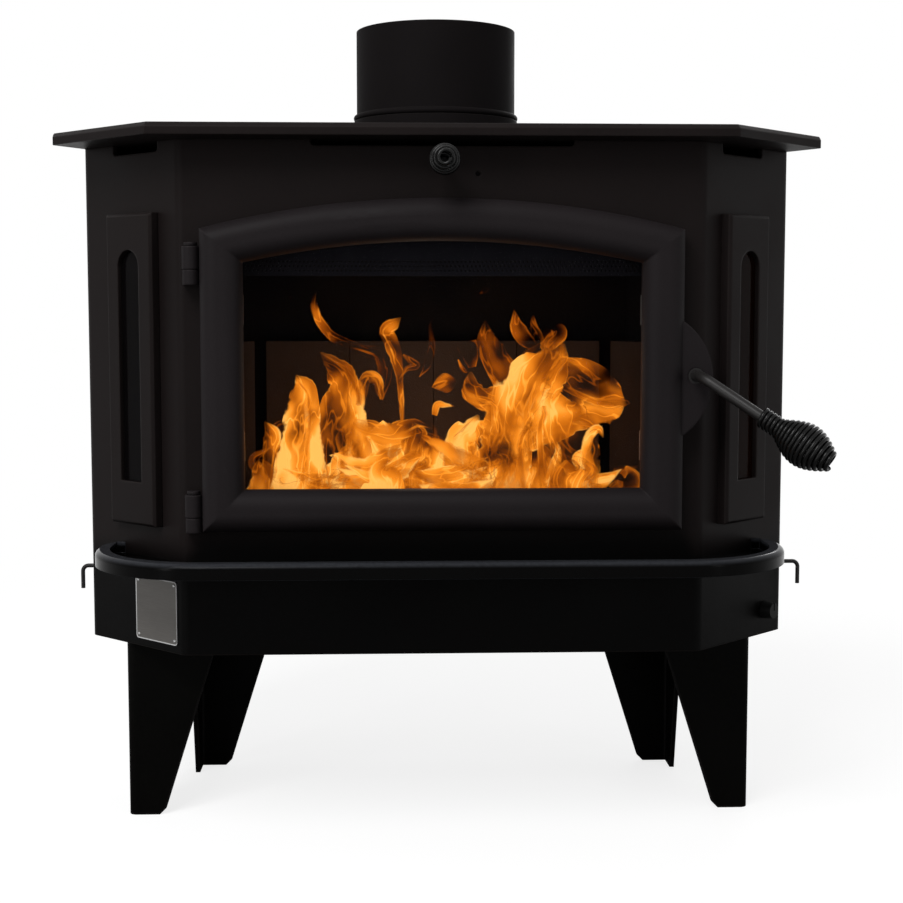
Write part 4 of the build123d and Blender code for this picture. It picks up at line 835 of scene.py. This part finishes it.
# Main tongues, drawn on a grid of fire_unit from the lower left of the fire. Each has a spine, its
# widths along the spine, and how far it has cooled.
main_licks = (
    (((7.6, 4), (8, 12), (8.6, 17), (6.4, 21)), (3, 4, 4.5, 0.6), 0.05),
    (((8.2, 12), (9.4, 17), (10.4, 19.5), (11.8, 21)), (2, 3, 2, 0.4), 0.1),
    (((16.5, -1), (17.5, 20), (18.2, 28), (18, 32), (16, 35)), (12, 8, 6, 4.5, 0.6), -0.1),
    (((29, -1), (29.5, 22), (30.3, 29), (29, 35), (23, 41.5)), (15, 10, 8, 6.5, 0.6), 0.12),
    (((31, 30), (33, 35), (34, 39), (38, 42)), (5, 7, 5, 0.6), 0.7),
    (
        ((41.3, 27), (42.2, 34), (41.5, 40.5), (37, 41.8), (31, 43.6),
         (26.3, 46), (23, 51), (21, 56), (21.5, 59.5)),
        (1, 3.2, 3.4, 2.6, 2.6, 2.5, 2.2, 1.8, 0.4),
        0.62,
    ),
    (
        ((33.5, 20), (35.3, 29), (36.8, 34), (39.8, 33.2), (41.3, 29), (42, 26.7)),
        (2.2, 2.6, 3, 2.6, 1.8, 0.4),
        -0.15,
    ),
    (
        ((47.8, 16), (47.3, 27), (46.8, 34), (45.8, 40), (44, 45), (42.8, 48), (45.3, 50.2), (47.3, 52)),
        (0.8, 1.5, 1.8, 2.8, 3.2, 3, 2.6, 0.4),
        0.25,
    ),
    (((47.8, 41), (50.3, 39.2), (51.8, 37.7), (48.8, 36.7), (46.3, 33.2)), (0.8, 1.8, 2, 1.4, 0.5), 0.2),
    (((50.8, -1), (53.3, 12), (54.3, 17), (51, 20)), (12, 11, 7, 0.8), 0.15),
    (((37, -1), (36, 12), (34, 16), (33.5, 22)), (18, 15, 10, 2), -0.2),
    (((33, 21), (38, 19), (44, 17.5), (50, 19.5), (56, 19)), (2, 4, 5, 4, 1), 0.05),
    (((52.8, 34), (55.3, 38), (56.3, 44), (56, 49), (57, 52)), (0.5, 1.8, 1.8, 1, 0.3), 0.6),
    (((56.6, 30.7), (59.8, 31.7), (62.3, 32.2), (64.6, 32.6)), (0.4, 3.8, 3.6, 0.4), 0.1),
    (((14.6, 58.2), (16.3, 56.4), (18.2, 55.6)), (0.4, 1.6, 0.3), 0.95),
    (((70.7, 59), (72.3, 60), (74.2, 60.8)), (0.4, 1.3, 0.4), 0.75),
    (((57.5, 22), (58.5, 25), (61, 25), (64, 24.5)), (1.5, 2, 1.4, 0.4), 0.55),
    (((66.8, -1), (64.8, 14), (67.8, 19), (70.3, 23)), (10, 6.5, 5, 1), 0.15),
    (
        ((75, -1), (78.5, 18), (76, 26), (71, 28.3), (68, 31.5), (67.8, 36)),
        (14, 10, 7.5, 6, 4.6, 0.8),
        0.05,
    ),
    (((87, -1), (87, 16), (86, 26), (87, 33), (90.8, 39), (92.8, 45)), (27, 25, 20, 13, 9, 4), 0.05),
    (((90, 34), (98.5, 31.5), (106, 27.5), (111.5, 26.4), (114, 26.2)), (8, 12, 12, 8, 1), 0.0),
    (((104, -1), (102.5, 10), (102.8, 16), (105.5, 19), (107, 16.5)), (6, 3, 2.4, 2.2, 0.5), 0.1),
    (((81, 14), (89, 17), (99, 20), (108, 19)), (6, 8, 6.5, 1), -0.05),
    (((79, 34), (75.8, 39), (73.3, 45), (72.3, 51)), (6.5, 5.5, 4.8, 0.6), 0.5),
    (((88, 43), (85, 46), (82.3, 50), (82, 54.7)), (2, 3.6, 2.6, 0.4), 0.6),
    (((89.3, 43), (87.8, 47), (86.8, 51), (87, 53)), (2, 2.3, 1.5, 0.3), 0.5),
    (((68.8, 37), (67.8, 42), (66.8, 45), (67.8, 47)), (2, 4, 4, 1), 0.8),
    (((105.9, 43.5), (105.6, 46.5), (104.6, 51)), (0.6, 2.4, 0.3), 0.9),
    (((64.8, 39), (66.3, 36), (67.8, 35)), (0.6, 1.2, 0.5), 0.7),
    (((90.8, 43), (92.3, 45.7), (93.8, 47.7), (92.5, 48.5)), (3, 4.6, 4.2, 1), 0.25),
    (((96.8, 39.7), (102.8, 37.2), (106.3, 32.7)), (1, 2.4, 1.2), 0.6),
    (((81, 36), (85.5, 39.5), (90, 41.5), (94, 40.5)), (2.5, 4, 4, 1.5), 0.05),
    (((105, 6), (109, 2.5), (114, 1.5), (119.5, 3.5)), (1.2, 3, 4, 4), -0.1),
)
# Thin strands play over each main tongue, a little cooler than the tongue itself.
strand_cooling = 0.30
flame_mesh = bpy.data.meshes.new("flames")
build = bmesh.new()
build.verts.layers.float_vector.new("flow")
build.verts.layers.float_vector.new("veil")
for spine, widths, age in main_licks:
    depth = fire_depth + fire_seed.uniform(-0.05, 0.05)
    lick(build, spine, widths, depth, age)
    for _ in range(round(sum(widths) / len(widths) / 4)):
        aside = fire_seed.uniform(-0.4, 0.4)
        strand = []
        for (x, y), width in zip(spine, widths):
            aside = max(-0.5, min(0.5, aside + fire_seed.uniform(-0.3, 0.3)))
            strand.append((x + aside * width, y + fire_seed.uniform(-0.1, 0.1) * width))
        slim = [min(fire_seed.uniform(0.10, 0.20) * width + 0.3, 1.7) for width in widths]
        strand_depth = depth + fire_seed.uniform(-0.012, 0.012)
        lick(build, strand, slim, strand_depth, age + strand_cooling, rings=22, sides=6)

# Small tongues between the main ones: how many, from where to where, and the tallest.
small_licks = (
    (11, 4, 56, 18),
    (11, 63, 112, 18),
    (6, 1, 118, 8),
)
for count, low, high, tallest in small_licks:
    for _ in range(count):
        start = fire_seed.uniform(low, high)
        tall = tallest * fire_seed.uniform(0.5, 1.0)
        bend = fire_seed.uniform(-5, 5)
        wide = fire_seed.uniform(3, 8)
        spine = (
            (start, -1.5),
            (start + bend * 0.4, tall * 0.35),
            (start - bend * 0.3, tall * 0.7),
            (start + bend, tall),
        )
        widths = (wide * 1.3, wide, wide * 0.6, 0.4)
        depth = fire_depth + fire_seed.uniform(-0.06, 0.07)
        age = fire_seed.uniform(-0.15, 0.25)
        lick(build, spine, widths, depth, age)

# Wisps that sweep low across the foot of the fire, towards its middle.
fire_middle = 58
wisp_count = 16
for _ in range(wisp_count):
    start = fire_seed.uniform(2, 114)
    low = fire_seed.uniform(1, 10)
    reach = fire_seed.uniform(14, 30) * (1 if start < fire_middle else -1)
    rise = fire_seed.uniform(-2, 6)
    spine = (
        (start, low + 3),
        (start + 0.4 * reach, low - 1),
        (start + 0.8 * reach, low + rise),
        (start + reach, low + rise + 2),
    )
    widths = (0.5, fire_seed.uniform(2.5, 4.5), 3, 0.4)
    depth = fire_depth + fire_seed.uniform(-0.06, -0.02)
    age = fire_seed.uniform(-0.2, 0.2)
    lick(build, spine, widths, depth, age)
build.to_mesh(flame_mesh)
build.free()

flame = Finish(
    "flame", Base_Color=(0, 0, 0, 1), Roughness=1.0, Specular_IOR_Level=0.0, Emission_Strength=1.5
)
flow = flame.node("ShaderNodeAttribute", {"attribute_name": "flow"}, {}, "Vector")
veil = flame.node("ShaderNodeAttribute", {"attribute_name": "veil"}, {}, "Vector")
across = flame.axis(flow, "X")
veil_half = flame.axis(veil, "X")
along = flame.axis(veil, "Y")
cooled = flame.axis(veil, "Z")
height = flame.axis(flame.place, "Z")
curl = flame.noise(flame.stretched(flow, (32.0, 30.0, 1.0)), 1.0, 3.0)
hollow = flame.noise(flame.stretched(flow, (17.0, 11.0, 1.0)), 1.0, 2.0)
stir = flame.noise(flame.stretched(flow, (24.0, 18.0, 1.0)), 1.0, 2.0, 1)
stirred = flame.node(
    "ShaderNodeVectorMath", {"operation": "MULTIPLY_ADD"}, {0: stir, 1: (0.03, 0.03, 0.0), 2: flow}
)
patch = flame.noise(flame.stretched(stirred, (18.0, 10.0, 1.0)), 1.0, 2.5)
fold = flame.noise(flame.stretched(stirred, (62.0, 17.0, 1.0)), 1.0, 2.0)
off_middle = across / veil_half + (curl - 0.5) * 1.9 * (0.45 + 0.55 * along)
inside = veil_half * (1 - abs(off_middle))
rim = flame.step(inside, 0.0002, 0.0014) * flame.step(inside, 0.0038, 0.0014)
rim = rim * flame.step(fold, 0.30, 0.66)
crease = flame.step(abs(fold - 0.5), 0.035, 0.0)
foot_glow = flame.step(height, fire_foot + 0.05, fire_foot)
warm = 0.65 + 0.28 * rim + 0.16 * crease + 3.0 * (patch - 0.5)
warm = warm - 0.26 * along - 0.5 * cooled + 0.06 * foot_glow
glow = flame.node(
    "ShaderNodeValToRGB",
    {
        "stops": (
            (0.00, (0.012, 0.002, 0.0002)),
            (0.22, (0.12, 0.021, 0.0014)),
            (0.45, (0.32, 0.066, 0.0027)),
            (0.62, (0.58, 0.142, 0.0055)),
            (0.78, (0.84, 0.240, 0.0140)),
            (0.90, (1.00, 0.345, 0.0380)),
            (1.00, (1.00, 0.460, 0.0900)),
        )
    },
    {"Fac": warm},
)
filled = 0.82 * flame.step(patch, 0.36, 0.62) * flame.step(hollow, 0.30, 0.48)
cover = 0.03 + filled + 0.5 * rim + 0.3 * crease
towards_tip = 1 - 0.9 * flame.step(along, 0.75, 1.0)
fading = towards_tip * flame.step(warm, 0.0, 0.42) * flame.step(inside, 0.0, 0.005)
flame.set("Emission Color", glow)
flame.set("Alpha", flame.node("ShaderNodeClamp", {}, {"Value": cover * fading, "Max": 0.97}))
flame_mesh.materials.append(flame.material)
# Light has to pass through many veils that lie one behind another.
bpy.context.scene.cycles.transparent_max_bounces = 32
flames = bpy.data.objects.new("flames", flame_mesh)
bpy.context.scene.collection.objects.link(flames)
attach(flames, "stove")

# Ember bed: a low heap of charcoal on the brick floor, under the flames. Lumpy and grey with ash, red
# in its cracks where it still burns.
ember_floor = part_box("bricks_floor")[1].z
ember_mesh = bpy.data.meshes.new("ember_bed")
build = bmesh.new()
bmesh.ops.create_grid(build, x_segments=60, y_segments=30, size=1.0)
ember_seed = random.Random(3)
ember_half = 0.205
ember_reach = 0.095
ember_rise = 0.011
lump_count = 90
lumps = [
    (
        ember_seed.uniform(-0.95, 0.95),
        ember_seed.uniform(-0.9, 0.9),
        ember_seed.uniform(0.08, 0.16),
        ember_seed.uniform(0.5, 1.0),
    )
    for _ in range(lump_count)
]


def lump_rise(x, y, lump):
    """Height of one round lump over a point of the bed."""
    lump_x, lump_y, size, tall = lump
    share = 1 - ((x - lump_x) / size) ** 2 - ((y - lump_y) / (2 * size)) ** 2
    return tall * max(0.0, share) ** 0.5


for vert in build.verts:
    x, y = vert.co.x, vert.co.y
    heap = 0.25 + max(lump_rise(x, y, lump) for lump in lumps)
    fall = max(min(1.0, 5 * (1 - abs(x)), 3 * (1 - abs(y))), 0.0)
    vert.co = (x * ember_half, fire_depth + y * ember_reach, ember_floor + ember_rise * heap * fall)
bed_edges = [edge for edge in build.edges if edge.is_boundary]
floor_rim = bmesh.ops.extrude_edge_only(build, edges=bed_edges)["geom"]
for item in floor_rim:
    if isinstance(item, bmesh.types.BMVert):
        item.co.z = ember_floor
floor_edges = [item for item in floor_rim if isinstance(item, bmesh.types.BMEdge)]
bmesh.ops.contextual_create(build, geom=floor_edges)
bmesh.ops.recalc_face_normals(build, faces=build.faces)
for face in build.faces:
    face.smooth = len(face.verts) == 4
build.to_mesh(ember_mesh)
build.free()
embers = Finish("embers", Roughness=0.95, Specular_IOR_Level=0.05, Emission_Strength=1.0)
crumbled = embers.node(
    "ShaderNodeVectorMath",
    {"operation": "MULTIPLY_ADD"},
    {0: embers.noise(embers.place, 55.0, 3.0, 1), 1: (0.025, 0.025, 0.025), 2: embers.place},
)
cracks = embers.node(
    "ShaderNodeTexVoronoi", {"feature": "DISTANCE_TO_EDGE"}, {"Vector": crumbled, "Scale": 60.0}
)
ash = embers.noise(embers.place, 120.0, 4.0)
heat = embers.step(embers.noise(embers.place, 17.0, 3.0), 0.36, 0.64)
red = embers.step(cracks + (ash - 0.5) * 0.25, 0.24, -0.06) * (0.12 + 0.88 * heat)
embers.set("Base Color", embers.blend(ash, (0.008, 0.007, 0.007, 1), (0.075, 0.07, 0.066, 1)))
embers.set("Emission Color", embers.blend(red, (0.010, 0.001, 0.0, 1), (0.95, 0.22, 0.018, 1)))
embers.relief(ash, 0.6, 0.002)
ember_mesh.materials.append(embers.material)
ember_bed = bpy.data.objects.new("ember_bed", ember_mesh)
bpy.context.scene.collection.objects.link(ember_bed)
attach(ember_bed, "stove")

# Studio: pale floor that runs out into a white surround, a wide soft lamp above and in front on the
# left, a tall strip lamp on each side that draws the bends, one behind, and the fire's own glow.
def ray_kind(tree, name):
    """1 for rays of this kind, 0 for the others."""
    return tree.node("ShaderNodeLightPath", {}, {}, name)


floor_half = 6.0
floor_corners = [
    (-floor_half, -floor_half, 0),
    (floor_half, -floor_half, 0),
    (floor_half, floor_half, 0),
    (-floor_half, floor_half, 0),
]
floor_mesh = bpy.data.meshes.new("studio_floor")
floor_mesh.from_pydata(floor_corners, [], [(0, 1, 2, 3)])
floor = bpy.data.objects.new("studio_floor", floor_mesh)
bpy.context.scene.collection.objects.link(floor)
floor_white_near = 0.80
floor_grey = (0.28, 0.28, 0.28, 1)
black = (0, 0, 0, 1)
white = (1, 1, 1, 1)
floor_white = Finish("studio_floor", Roughness=0.9, Specular_IOR_Level=0.0, Emission_Strength=1.0)
from_stove = floor_white.node(
    "ShaderNodeVectorMath", {"operation": "LENGTH"}, {0: floor_white.place}, "Value"
)
far = floor_white.step(from_stove, 0.9, 2.2)
seen = ray_kind(floor_white, "Is Camera Ray")
mirrored = ray_kind(floor_white, "Is Glossy Ray") + ray_kind(floor_white, "Is Transmission Ray")
white_share = seen * (floor_white_near + (1 - floor_white_near) * far) + mirrored * far
floor_white.set("Base Color", floor_white.blend(seen * far, floor_grey, black))
floor_white.set("Emission Color", floor_white.blend(white_share, black, white))
floor_mesh.materials.append(floor_white.material)

world = bpy.data.worlds.new("studio")
world.use_nodes = True
bpy.context.scene.world = world
surround = Tree(world.node_tree)
seen_white = (
    ray_kind(surround, "Is Camera Ray")
    + ray_kind(surround, "Is Glossy Ray")
    + ray_kind(surround, "Is Transmission Ray")
)
light_level = 0.30
sky = world.node_tree.nodes["Background"]
share = surround.node("ShaderNodeClamp", {}, {"Value": seen_white})
surround.feed(sky.inputs["Strength"], light_level + (1 - light_level) * share)
sky.inputs["Color"].default_value = white


def soft_lamp(name, place, width, height, power):
    """A rectangular lamp turned towards the middle of the stove."""
    lamp_data = bpy.data.lights.new(name, "AREA")
    lamp_data.shape = "RECTANGLE"
    lamp_data.size = width
    lamp_data.size_y = height
    lamp_data.energy = power
    lamp = bpy.data.objects.new(name, lamp_data)
    lamp.location = place
    lamp.rotation_euler = (Vector(lamp_target) - Vector(place)).to_track_quat("-Z", "Y").to_euler()
    bpy.context.scene.collection.objects.link(lamp)


lamp_target = (0, 0, 0.5)
soft_lamp("key_lamp", (-1.2, -2.2, 3.0), 1.8, 1.8, 92.0)
soft_lamp("left_strip", (-2.3, -2.4, 0.9), 0.3, 1.8, 15.0)
soft_lamp("right_strip", (2.3, -2.4, 0.9), 0.3, 1.8, 7.0)
soft_lamp("rear_lamp", (0.9, 2.8, 2.0), 1.6, 1.6, 30.0)
glow_height = 0.15
glow_data = bpy.data.lights.new("fire_glow", "POINT")
glow_data.energy = 0.5
glow_data.color = (1.0, 0.78, 0.60)
glow_data.shadow_soft_size = 0.06
fire_glow = bpy.data.objects.new("fire_glow", glow_data)
fire_glow.location = (0, fire_depth, ember_floor + glow_height)
bpy.context.scene.collection.objects.link(fire_glow)
